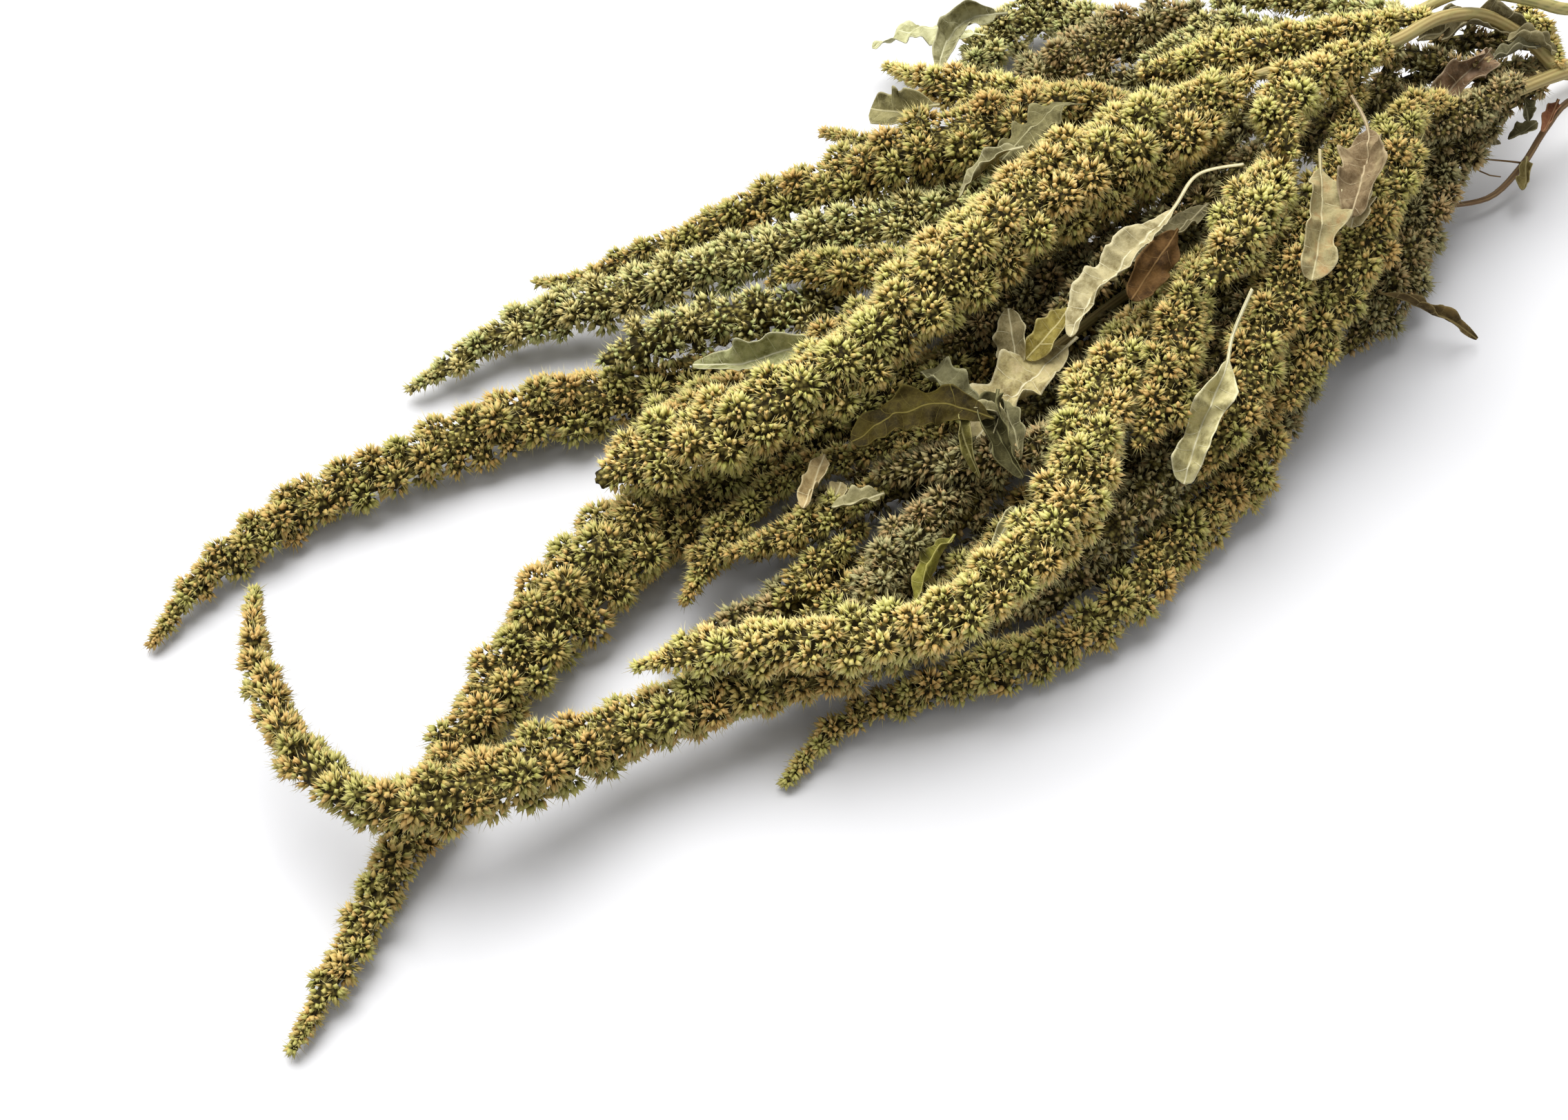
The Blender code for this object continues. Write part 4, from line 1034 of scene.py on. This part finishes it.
class Leaf(typing.NamedTuple):
    """A leaf: its colours, the shape of its solid, then how its finer blade is worn.

    Colours are the blade's, a darker tone for its blotches that also gives the painted
    shade in its creases, the patches' and the veins' hex codes. A leaf without a solid
    names its slot, which nothing reads.
    Ragged, curl (radians at the edge), twist (degrees) and blunt (a squarer tip with a
    higher power) shape the blade; ruffle, frill (wavelength) and crumple are in mm.
    """

    colours: str
    half: float
    rows: int
    fold: float
    wave: float
    roll: float
    stalk: float
    phase: float
    drops: tuple
    route: tuple
    ragged: float
    ruffle: float
    crumple: float
    curl: float = 0.6
    twist: float = 20.0
    blunt: float = 0.0
    frill: float = 6.5
    slot: str = ""


LEAVES = {
    "leaf_centre_fold": Leaf(
        "#8A8A5E #5A5832 #9E9A74 #C4C0A0", 5.0, 9, 0.9, 0.30, -25, 0.06, 0.915, (-0.3, -0.5),
        ((-42, 22, 52), (-50, 27, 48), (-59, 33, 44), (-68, 44, 40)), 0.35, 2.4, 1.0, 1.2, 30),
    "leaf_big": Leaf(
        "#B4A878 #7E704A #BEAE84 #DFD7B4", 8.5, 9, 0.35, 0.30, 10, 0.10, 3.651, (-18.0, -17.8),
        ((24, -10, 56), (10, -12, 54), (-6, -15, 52), (-22, -19, 48)), 0.15, 1.8, 1.1, 0.6, 25, 5),
    "leaf_long": Leaf(
        "#A69C76 #776C48 #B4A880 #D2CAA8", 4.6, 9, 0.7, 0.15, 15, 0.38, 0.931, (-7.2, -7.5),
        ((88, -4, 70), (73, -1, 72), (59, -6, 70), (40, -10, 66), (25, -14, 63), (12, -19, 60)),
        0.28, 2.6, 1.7, 0.6, 45, 6, 8.5),
    "leaf_long_shade": Leaf(
        "#4C3518 #2E1E0C #5C4222 #745A36", 5.0, 8, -0.4, 0.30, -30, 0.05, 6.152, (0.0, 0.45, 0.6, 0.0, 0.0),
        ((56, -12, 62), (45, -16.5, 60), (31, -21.5, 57)), 0.60, 2.4, 1.5, 0.7, 30, 4),
    "leaf_right": Leaf(
        "#AEA678 #7A724A #BCB388 #DAD4B2", 4.7, 9, 0.9, 0.35, -20, 0.40, 6.032, (-1.0, -0.7, -1.0),
        ((60, -38, 58), (47, -45, 54), (38, -52, 50), (25, -58, 42), (14, -65, 34)),
        0.36, 3.2, 2.0, 0.8, 50, 9, 7.0),
    "leaf_crest": Leaf(
        "#645E3C #433E22 #767048 #9A946E", 7.0, 9, -0.3, 0.30, 20, 0.10, 5.517, (-3.0, -2.7, -3.0),
        ((68, 40, 68), (60, 44, 68), (50, 43, 66), (38, 41, 62)), 0.20, 1.9, 1.1, 0.7, -40, 4),
    "leaf_pale": Leaf(
        "#988E66 #736644 #967A52 #C4BA92", 6.0, 9, 0.3, 0.35, -10, 0.18, 4.465, (-5.5, -4.9),
        ((106, -15, 72), (97, -25, 70), (88, -35, 66), (77, -44, 60)), 0.42, 2.2, 1.3, 0.7, 30, 5),
    "leaf_brown_curl": Leaf(
        "#7C6A4E #594830 #948462 #B6A684", 7.0, 9, 0.5, 0.30, 30, 0.30, 1.549,
        (0, 0, 0, 0, 0, 0.75, 1.95, 2.4, 2.4, 1.2),
        ((124, -8, 72), (119, -20, 70), (108, -30, 66), (96, -38, 62)), 0.45, 2.2, 2.0, 0.8, -40, 4),
    "leaf_olive_curl": Leaf(
        "#32290A #1E1805 #3E360E #645A2A", 7.6, 9, -0.55, 0.25, -15, 0.05, 0.82, (-1.5, -0.9, -1.5),
        ((-21, -27, 50), (-29, -15, 50), (-39, -9, 48), (-52, -6, 43)), 0.35, 2.4, 1.5, 1.1, 20, 4),
    "leaf_back_square": Leaf(
        "#767048 #4C4628 #888058 #B8B088", 6.0, 8, 0.5, 0.25, -35, 0.10, 1.757, (2.4, 2.4, 0.0, 0.0, 0.0),
        ((46, 78, 48), (42, 86, 44), (38, 100, 38)), 0.12, 1.0, 0.8, 0.7, 15, 5),
    "leaf_grey_narrow": Leaf(
        "#86805C #5E583C #98926E #BAB490", 2.6, 8, 0.5, 0.30, 20, 0.10, 5.87, (-0.4, -1.0, -1.0),
        ((43, 38, 64), (34, 42, 62), (20, 38, 58)), 0.30, 1.4, 0.7, 1.0, 60),
    "leaf_yellow_curl": Leaf(
        "#6E6A28 #4A4618 #88823E #A8A060", 3.0, 8, 0.8, 0.25, 40, 0.08, 5.197, (-10.0, -9.7, -10.0),
        ((-44, -40, 40), (-54, -44, 39), (-66, -50, 37)), 0.25, 1.0, 0.6, 0.8, 20),
    "leaf_floor_bit": Leaf(
        "#A08C62 #6E5C3A #B3A074 #CFC299", 3.4, 8, 0.4, 0.20, 0, 0.05, 3.024,
        (0, 0, 0, 0, 0, 0.6, 2.4, 3.6, 3.6),
        ((-54, 3, 30), (-62, -3, 30), (-71, -10, 28)), 0.45, 1.8, 1.2, 0.8, 40, 4),
    "leaf_far_edge": Leaf(
        "#ACAA80 #7C7A50 #BAB890 #D2D0AE", 7.5, 8, -0.4, 0.30, 20, 0.10, 0.192, (-7.4, -8.0, -8.0),
        ((104, 124, 26), (94, 133, 28), (85, 141, 27), (74, 144, 23)), 0.22, 1.8, 1.2, 0.5, 10, 4),
    "leaf_far_curl": Leaf(
        "#908C66 #605C3C #A09C7A #C0BC9A", 5.0, 8, 0.7, 0.25, -30, 0.10, 1.514,
        (0, 0, 0, 0, 0, 0, 1.65, 3.3, 3.3),
        ((102, 112, 36), (92, 119, 34), (82, 117, 31), (72, 109, 27)), 0.40, 2.0, 1.4, 1.0, 40),
    "leaf_near_thin": Leaf(
        "#594A2C #3A2C16 #766038 #8C7C50", 2.2, 8, 0.6, 0.25, 0, 0.05, 5.629, (3.0, 3.0, 0.0, 0.0, 0.0),
        ((118, -37, 18), (126, -44, 15), (134, -50, 12), (143, -57, 3)), 0.30, 1.2, 0.5, 1.0, 150),
    "leaf_grey_fold": Leaf(
        "#403C22 #282612 #504C2E #7A7650", 5.0, 8, 0.7, 0.30, 25, 0.05, 5.161, (-1.5, -1.2, -1.5),
        ((-12, -18, 48), (-19, -25, 46), (-22, -34, 44), (-24, -43, 43)), 0.45, 2.0, 1.2, 2.2, 60),
    "leaf_stem_crumple": Leaf(
        "#7C6248 #4F4030 #98806A #AC9C80", 5.6, 9, 0.5, 0.35, -20, 0.05, 1.509, (-8.0, -7.8),
        ((198, 1, 55), (190, 0, 53), (180, -1, 50), (168, -3, 48)), 0.50, 3.0, 2.4, 1.6, 70),
    "leaf_shadow": Leaf(
        "#6B6446 #48422C #7E765A #A39A78", 4.5, 8, -0.3, 0.30, 10, 0.05, 4.467, (-6.0, -5.7, -6.0),
        ((78, -2, 58), (60, -5, 57), (42, -5, 56)), 0.35, 2.2, 1.3, 1.2, 40),
    "leaf_side_stem": Leaf(
        "#766A40 #504626 #8E8252 #A69A6C", 3.0, 8, 0.4, 0.25, 20, 0.15, 5.82, (-0.2, -0.5),
        ((203, -18, 15), (199, -21.5, 13), (195, -25, 11)), 0.35, 1.2, 1.0, 1.3, 60),
    # Lobes and curled strips beside the main blades.
    "lobe_behind_big": Leaf(
        "#968A64 #6A603E #A89A72 #CFC6A0", 5.2, 8, 0.2, 0.25, -20, 0.02, 1.0, (0.0,),
        ((5, -7, 35), (8, -1, 40), (11, 5, 45)), 0.12, 1.4, 0.9, 0.7, 30, slot="leaf_tan"),
    "lobe_yellow_big": Leaf(
        "#9A8C48 #72652E #AC9F5E #C6BA84", 4.4, 8, 0.3, 0.25, 10, 0.02, 2.0, (0.0,),
        ((7, -8, 38), (16, -7, 42), (25, -5, 45)), 0.10, 1.3, 0.7, 0.8, -60, slot="leaf_olive"),
    "tail_olive": Leaf(
        "#5A5426 #3A3414 #7E7842 #9C9462", 2.0, 8, 0.5, 0.25, 10, 0.02, 3.0, (0.0,),
        ((-27, -20, 48), (-30, -26, 45), (-31, -34, 38)), 0.30, 1.0, 0.5, 0.8, 120, slot="leaf_olive"),
    "strip_grey_left": Leaf(
        "#76704C #504A30 #8E8662 #B4AC86", 2.6, 8, 0.4, 0.25, 0, 0.02, 4.0, (0.0,),
        ((-28, -18, 46), (-21, -22, 47), (-18, -26, 45), (-25, -31, 41)),
        0.40, 1.6, 0.8, 0.9, 100, slot="leaf_grey"),
    "strip_grey_right": Leaf(
        "#605C3E #403C26 #76704E #A09A76", 2.8, 8, 0.4, 0.25, -10, 0.02, 5.0, (0.0,),
        ((-12, -19, 44), (-15, -28, 43), (-19, -36, 39)), 0.40, 1.6, 0.8, 1.0, 90, slot="leaf_grey"),
    "leaf_grey_behind": Leaf(
        "#6E6A4A #4C4830 #827E5C #A29E7A", 4.6, 8, 0.3, 0.30, 0, 0.02, 0.5, (0.0,),
        ((-22, 2, 43), (-20, -8, 44), (-17, -17, 41)), 0.12, 1.4, 1.0, 0.8, 30, slot="leaf_grey"),
    "lobe_cream_right": Leaf(
        "#B8AA80 #8E8056 #C6B88C #DED6B0", 5.0, 8, 0.2, 0.30, -10, 0.02, 2.6, (0.0,),
        ((109, -29, 63), (102, -34, 63), (97, -38, 59)), 0.45, 2.0, 1.2, 0.6, 30, 5, slot="leaf_tan"),
    "leaf_stem_green": Leaf(
        "#605C42 #423E2A #767052 #969076", 2.8, 8, 0.4, 0.25, 10, 0.10, 1.4, (0.0,),
        ((214, -5, 44), (204, -3, 46), (193, -2, 45)), 0.35, 1.4, 0.8, 1.2, 80, slot="leaf_green"),
    "leaf_arch_green": Leaf(
        "#6E6648 #484028 #887E60 #A89E7E", 5.2, 8, 0.4, 0.25, 20, 0.04, 1.1, (0.0,),
        ((192, 15, 44), (201, 12, 48), (210, 6, 47), (216, 0, 44)),
        0.45, 2.6, 2.0, 1.2, 90, slot="leaf_grey"),
    "leaf_arch_dark": Leaf(
        "#5A5236 #38321E #726A4A #90886A", 4.6, 8, 0.4, 0.25, -10, 0.04, 3.1, (0.0,),
        ((188, 21, 42), (198, 19, 43), (208, 14, 43), (214, 8, 42)),
        0.45, 2.4, 2.0, 1.2, -70, slot="leaf_grey"),
    "leaf_in_fork": Leaf(
        "#807652 #544C30 #948A66 #B2A884", 3.4, 8, 0.4, 0.25, 0, 0.04, 5.1, (0.0,),
        ((204, 1, 47), (211, -3, 45), (219, -8, 41)), 0.40, 1.8, 1.4, 1.4, 60, slot="leaf_grey"),
    "scrap_under_fork": Leaf(
        "#504C32 #34301E #666044 #868064", 2.0, 8, 0.4, 0.25, 0, 0.04, 0.1, (0.0,),
        ((205, -10, 32), (204, -12.5, 30), (203, -15, 27)), 0.40, 1.0, 0.8, 1.2, 60, slot="leaf_grey"),
    "scrap_by_side_stem": Leaf(
        "#605A3C #3E3824 #767050 #969070", 2.4, 8, 0.4, 0.25, 0, 0.04, 2.1, (0.0,),
        ((208, -15, 24), (204, -14, 22), (199, -12.5, 20)), 0.40, 1.2, 1.0, 1.2, 80, slot="leaf_grey"),
    "scrap_near_thicket": Leaf(
        "#6C6446 #484028 #847A5C #A49A7A", 2.2, 8, 0.4, 0.25, 20, 0.04, 4.1, (0.0,),
        ((196, -12, 20), (192, -10.5, 21), (187, -8.5, 22)), 0.40, 1.2, 1.0, 1.2, 60, slot="leaf_grey"),
    "leaf_hollow_bit": Leaf(
        "#847E58 #5A5436 #98906A #BCB48E", 3.0, 8, 0.4, 0.25, 0, 0.10, 2.9, (0.0,),
        ((-51, -19, 32), (-58, -17, 32), (-64, -13, 30)), 0.35, 1.6, 0.9, 1.3, 60, slot="leaf_green"),
    "leaf_pale_half": Leaf(
        "#A09A70 #746E46 #B2AC82 #D2CCA6", 2.6, 8, 0.4, 0.25, -20, 0.02, 1.9, (0.0,),
        ((-27.4, -45, 34), (-33.6, -48, 33), (-40, -51, 31)), 0.30, 1.2, 0.7, 0.8, 20, slot="leaf_green"),
    "scrap_tan": Leaf(
        "#9C8E64 #6E6242 #AEA078 #CABF98", 3.2, 8, 0.3, 0.25, 10, 0.02, 3.3, (0.0,),
        ((-55, -5.5, 27), (-58.6, -8.4, 27), (-62.8, -11.7, 26)),
        0.45, 1.4, 1.1, 0.8, 20, 5, slot="leaf_tan"),
    "leaf_reddish_tip": Leaf(
        "#83543C #5A3624 #9A6C4C #B08A66", 2.4, 8, 0.4, 0.25, 10, 0.15, 0.7, (0.0,),
        ((219, -13, 26), (214, -15.5, 25), (207, -18.5, 23)), 0.30, 1.0, 0.6, 1.0, 40, slot="leaf_brown"),
}

def leaf_material(node, leaf, tint):
    """A dry leaf: matte and thin, mottled, with painted shade in its creases and fine pale veins."""
    blade, dark_tone_and_shade, patch, pale = (tinted(code, tint) for code in leaf.colours.split())
    material, tree, shader = new_material(f"dry_leaf_{node}", 0.75, 0.1)
    place = add_node(tree, "ShaderNodeTexCoord").outputs["Object"]
    edge, across, vein, crease = (
        add_node(tree, "ShaderNodeAttribute", attribute_name=name).outputs["Fac"]
        for name in ("edge", "across", "vein", "crease"))
    # Blotches about 6 mm across, specks of about 1 mm, and a net of veins about 1.3 mm wide.
    blotch = add_node(tree, "ShaderNodeTexNoise", {
        "Vector": place, "Scale": 160.0, "Detail": 5.0, "Roughness": 0.65}).outputs["Fac"]
    speck = add_node(tree, "ShaderNodeTexNoise", {
        "Vector": place, "Scale": 950.0, "Detail": 3.0}).outputs["Fac"]
    net = add_node(tree, "ShaderNodeTexVoronoi", {"Vector": place, "Scale": 750.0},
                   feature="DISTANCE_TO_EDGE").outputs["Distance"]
    mottled = add_node(tree, "ShaderNodeValToRGB", {"Fac": blotch},
                       stops=((0.34, dark_tone_and_shade), (0.50, blade), (0.68, patch)))
    # Painted shade in the creases: full in the darkest blotches, about half as strong in pale ones.
    crease_shade_share = add_node(tree, "ShaderNodeMapRange", {
        "Value": blotch, "From Min": 0.3, "From Max": 0.6, "To Min": 1.0, "To Max": 0.45})
    dark = add_node(tree, "ShaderNodeMath", {0: crease, 1: crease_shade_share.outputs[0]}, operation="MULTIPLY")
    rim = add_node(tree, "ShaderNodeMapRange", {
        "Value": edge, "From Min": 0.88, "From Max": 1.0, "To Max": 0.5})
    mesh_of_veins = add_node(tree, "ShaderNodeMapRange", {
        "Value": net, "From Max": 0.10, "To Min": 0.16, "To Max": 0.0})
    speckled = add_node(tree, "ShaderNodeMapRange", {
        "Value": speck, "From Min": 0.35, "From Max": 0.6, "To Min": 0.3})
    fine = add_node(tree, "ShaderNodeMath", {0: mesh_of_veins.outputs[0], 1: speckled.outputs[0]},
                    operation="MULTIPLY")
    # Veins about 0.3 mm wide that fade in places; the rib is twice as wide.
    away = add_node(tree, "ShaderNodeMath", {0: vein}, operation="ABSOLUTE")
    line = add_node(tree, "ShaderNodeMapRange", {
        "Value": away.outputs[0], "From Min": 0.02, "From Max": 0.09, "To Min": 0.8, "To Max": 0.0})
    faded = add_node(tree, "ShaderNodeMapRange", {
        "Value": blotch, "From Min": 0.38, "From Max": 0.56, "To Min": 1.0, "To Max": 0.25})
    side_vein = add_node(tree, "ShaderNodeMath", {0: line.outputs[0], 1: faded.outputs[0]},
                         operation="MULTIPLY")
    rib = add_node(tree, "ShaderNodeMapRange", {
        "Value": across, "From Min": 0.10, "From Max": 0.34, "To Min": 0.85, "To Max": 0.0})
    veins = add_node(tree, "ShaderNodeMath", {0: side_vein.outputs[0], 1: rib.outputs[0]},
                     operation="MAXIMUM").outputs[0]
    colour = mottled.outputs["Color"]
    # Painted shade in the creases first, then the pale rim, the net and the veins over it.
    for factor, over in ((dark.outputs[0], dark_tone_and_shade), (rim.outputs[0], pale), (fine.outputs[0], pale),
                         (veins, pale)):
        colour = add_node(tree, "ShaderNodeMix", {0: factor, 6: colour, 7: over},
                          data_type="RGBA").outputs[2]
    tree.links.new(colour, shader.inputs["Base Color"])
    low = add_node(tree, "ShaderNodeBump", {"Height": speck, "Strength": 0.6, "Distance": 0.35 * MM})
    high = add_node(tree, "ShaderNodeBump", {"Height": veins, "Strength": 0.7,
                                             "Distance": 0.25 * MM, "Normal": low.outputs["Normal"]})
    tree.links.new(high.outputs["Normal"], shader.inputs["Normal"])
    return material


class AMARANTH_OT_leaves(bpy.types.Operator):
    """Make the thin, crumpled and veined leaves"""

    bl_idname = "amaranth.leaves"
    bl_label = "Build the leaves"

    def execute(self, context):
        for node, look in LEAVES.items():
            build_leaf(node, look, context.scene.amaranth_leaves)
        return {"FINISHED"}


# Stems: the runs that each is made of, as (x, y, z, radius) from the cut end to the tip.
STEMS = {
    "stem_main": (
        ((352, -3, 2.9, 2.9), (334, -3.2, 3.4, 2.9), (312, -5, 8, 2.8), (280, -10, 18, 2.7),
         (245, -13, 29, 2.6), (221, -12, 35, 2.5), (214, -1, 43, 2.2),
         (203, 10, 51, 2.1), (184, 12, 58, 2.0), (162, 10, 61, 1.9),
         (142, 13, 61, 1.8), (128, 22, 60, 1.6), (114, 26, 59, 1.3)),
        ((236, -13, 31, 2.2), (218, -12, 36, 2.1), (199, -10, 37, 2.0),
         (182, -9, 37, 1.9), (156, -7, 35, 1.8), (125, -3, 32, 1.7),
         (95, 1, 30, 1.6), (60, 2, 28, 1.5), (25, -1, 26, 1.3),
         (-15, -6, 24, 1.1)),
    ),
    "stem_arch": (
        ((350, -0.2, 7.2, 2.2), (332, 0, 7.8, 2.2), (312, 1, 14, 2.2), (282, -1, 29, 2.1),
         (252, -4, 42, 2.0), (226, -3, 51, 1.9), (213, 3, 57, 1.8),
         (198, 14, 60, 1.7), (186, 19, 57, 1.6), (172, 26, 48, 1.5),
         (150, 42, 36, 1.4), (120, 58, 30, 1.3), (92, 66, 32, 1.1)),
    ),
    "stem_under": (
        ((351, 2.6, 2.6, 2.6), (333, 2.6, 2.6, 2.6), (300, 4, 3.4, 2.6), (252, 8, 8, 2.5),
         (215, 12, 14, 2.3), (180, 20, 20, 2.1), (150, 30, 24, 2.0),
         (120, 40, 26, 1.9), (90, 46, 27, 1.8), (55, 50, 27, 1.6),
         (20, 51, 27, 1.4), (-5, 53, 27, 1.1)),
    ),
    "stem_side": (
        ((293, -12.2, 14.4, 1.2), (270, -20, 19, 1.2), (245, -20, 24, 1.1),
         (223, -15, 25, 1.1), (212, -16, 20, 1.0), (202, -18, 12, 1.0),
         (188, -19, 7, 0.9), (172, -15, 9, 0.8)),
    ),
    # A dry tendril that loops beside the side stem.
    "tendril_loop": (
        ((202, -17.6, 12.4, 0.35), (197, -14, 13.4, 0.3), (190, -8.6, 14, 0.28), (188, -9.4, 13.6, 0.26),
         (188.6, -12.4, 12.6, 0.24), (190, -15, 12, 0.22), (193, -17.4, 11.4, 0.2)),
    ),
}

# Groove, ridge and streak colours of the stems, and the ribs of the thick ones (in mm) and
# the thin ones, and their steps along.
STEM_COLOURS = {
    "stem_straw": ("#837040", "#B09E68", "#968E58"),
    "stem_green": ("#767040", "#A6A062", "#B0A068"),
    "stem_russet": ("#55402A", "#8C7048", "#6E5234"),
}
RIBS = 9
THIN_RIBS = 6
THICK = 1.5
STEM_STEP = 3.0 * MM


def add_run(bm, rows, places, ribs, depth, rib_layer, seed):
    """A ribbed tube along the rows of a stem, closed at both ends."""
    shape = np.array([[1.0 + (depth if column % 2 else -depth)
                       + uneven(STEM_SWELL, (place, seed, 0), seed)
                       + uneven(RIB_SWELL, (place, column, 0), seed)
                       for column in range(2 * ribs)] for place in places])
    for ring in add_tube(bm, rows[:, :3], rows[:, 3], shape):
        for column, vertex in enumerate(ring):
            vertex.co.z = max(vertex.co.z, 0.0)
            vertex[rib_layer] = float(column % 2)


def stem_material(slot, streaks):
    """A dry ribbed stem: woody and faintly waxy, pale ridges over darker grooves."""
    groove, ridge, streak = map(linear, STEM_COLOURS[slot])
    material, tree, shader = new_material(f"dry_stem_{slot}", 0.55, 0.3)
    place = add_node(tree, "ShaderNodeTexCoord").outputs["Object"]
    rib = add_node(tree, "ShaderNodeAttribute", attribute_name="rib").outputs["Fac"]
    # Streaks about 25 mm long and 2 mm across.
    stretched = add_node(tree, "ShaderNodeMapping", {"Vector": place, "Scale": (0.08, 1.0, 1.0)})
    grain = add_node(tree, "ShaderNodeTexNoise", {
        "Vector": stretched.outputs[0], "Scale": 500.0, "Detail": 4.0}).outputs["Fac"]
    base = add_node(tree, "ShaderNodeMix", {0: rib, 6: groove, 7: ridge}, data_type="RGBA")
    share = add_node(tree, "ShaderNodeMapRange", {
        "Value": grain, "From Min": 0.45, "From Max": 0.62, "To Max": streaks})
    streaked = add_node(tree, "ShaderNodeMix", {
        0: share.outputs[0], 6: base.outputs[2], 7: streak}, data_type="RGBA")
    # Brown flecks and worn patches about 5 mm across.
    fleck = add_node(tree, "ShaderNodeTexNoise", {"Vector": place, "Scale": 210.0, "Detail": 6.0,
                                                  "Roughness": 0.7}).outputs["Fac"]
    scar = add_node(tree, "ShaderNodeMapRange", {
        "Value": fleck, "From Min": 0.56, "From Max": 0.72, "To Max": 0.6})
    flecked = add_node(tree, "ShaderNodeMix", {
        0: scar.outputs[0], 6: streaked.outputs[2], 7: groove}, data_type="RGBA")
    tree.links.new(flecked.outputs[2], shader.inputs["Base Color"])
    bump = add_node(tree, "ShaderNodeBump", {"Height": grain, "Strength": 0.5, "Distance": 0.3 * MM})
    tree.links.new(bump.outputs["Normal"], shader.inputs["Normal"])
    return material


class AMARANTH_OT_stems(bpy.types.Operator):
    """Make the ribbed stems"""

    bl_idname = "amaranth.stems"
    bl_label = "Build the stems"

    def execute(self, context):
        settings = context.scene.amaranth_stems
        materials = {slot: stem_material(slot, settings.streaks) for slot in STEM_COLOURS}
        for node, runs in STEMS.items():
            slot = SLOTS.get(node, "stem_russet")
            bm = bmesh.new()
            rib_layer = bm.verts.layers.float.new("rib")
            for k, run in enumerate(runs):
                rows, places = even_rows(placed(run), STEM_STEP, 6)
                ribs = RIBS if run[0][3] > THICK else THIN_RIBS
                add_run(bm, rows, places, ribs, settings.rib_depth, rib_layer, k + len(node))
            mesh = finished_mesh(bm, f"{node}_ribbed")
            mesh.materials.append(materials[slot])
            piece = new_piece(f"{node}_ribbed", mesh)
            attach(piece, "root")
            if node in frame["nodes"]:
                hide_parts(node)
        return {"FINISHED"}


class AMARANTH_OT_stage(bpy.types.Operator):
    """Lay the floor, and set the light and the camera"""

    bl_idname = "amaranth.stage"
    bl_label = "Set the stage"

    def execute(self, context):
        settings = context.scene.amaranth_stage
        bm = bmesh.new()
        bmesh.ops.create_grid(bm, x_segments=1, y_segments=1, size=FLOOR_HALF)
        mesh = bpy.data.meshes.new("floor")
        bm.to_mesh(mesh)
        bm.free()
        floor = new_piece("floor", mesh)
        material, _, shader = new_material("white_paper_floor", 0.95, 0.1)
        shader.inputs["Base Color"].default_value = (*settings.floor_colour, 1.0)
        mesh.materials.append(material)

        key = bpy.data.objects.new("key", bpy.data.lights.new("key", "SUN"))
        key.data.energy = settings.key_strength
        key.data.angle = math.radians(SUN_WIDTH)
        key.rotation_euler = SUN_FROM.to_track_quat("Z", "Y").to_euler()
        context.scene.collection.objects.link(key)

        world = bpy.data.worlds.new("soft_box")
        world.use_nodes = True
        background = world.node_tree.nodes["Background"]
        background.inputs["Color"].default_value = (1.0, 1.0, 1.0, 1.0)
        background.inputs["Strength"].default_value = settings.fill_strength
        context.scene.world = world
        context.scene.view_settings.view_transform = "Standard"

        camera = bpy.data.objects.new("camera", bpy.data.cameras.new("camera"))
        camera.data.lens = settings.lens
        camera.data.sensor_width = 36.0
        camera.data.clip_start = 0.01
        camera.location = LOOK_AT + CAMERA_BACK.normalized() * CAMERA_DISTANCE
        camera.rotation_euler = CAMERA_BACK.to_track_quat("Z", "Y").to_euler()
        context.scene.collection.objects.link(camera)
        context.scene.camera = camera
        return {"FINISHED"}


class AMARANTH_PT_panel(bpy.types.Panel):
    """Steps that dress the bunch"""

    bl_label = "Amaranth"
    bl_idname = "AMARANTH_PT_panel"
    bl_space_type = "VIEW_3D"
    bl_region_type = "UI"
    bl_category = "Amaranth"

    def draw(self, context):
        for operator in OPERATORS:
            self.layout.operator(operator.bl_idname)


OPERATORS = (AMARANTH_OT_flowers, AMARANTH_OT_leaves, AMARANTH_OT_stems, AMARANTH_OT_stage)
SETTINGS = {"amaranth_flowers": FlowerSettings, "amaranth_leaves": LeafSettings,
            "amaranth_stems": StemSettings, "amaranth_stage": StageSettings}
CLASSES = (*SETTINGS.values(), *OPERATORS, AMARANTH_PT_panel)


def register():
    for item in CLASSES:
        bpy.utils.register_class(item)
    for name, kind in SETTINGS.items():
        setattr(bpy.types.Scene, name, bpy.props.PointerProperty(type=kind))


def unregister():
    for name in SETTINGS:
        delattr(bpy.types.Scene, name)
    for item in reversed(CLASSES):
        bpy.utils.unregister_class(item)


def main():
    register()
    bpy.ops.amaranth.flowers()
    bpy.ops.amaranth.leaves()
    bpy.ops.amaranth.stems()
    bpy.ops.amaranth.stage()


if __name__ == "__main__":
    main()
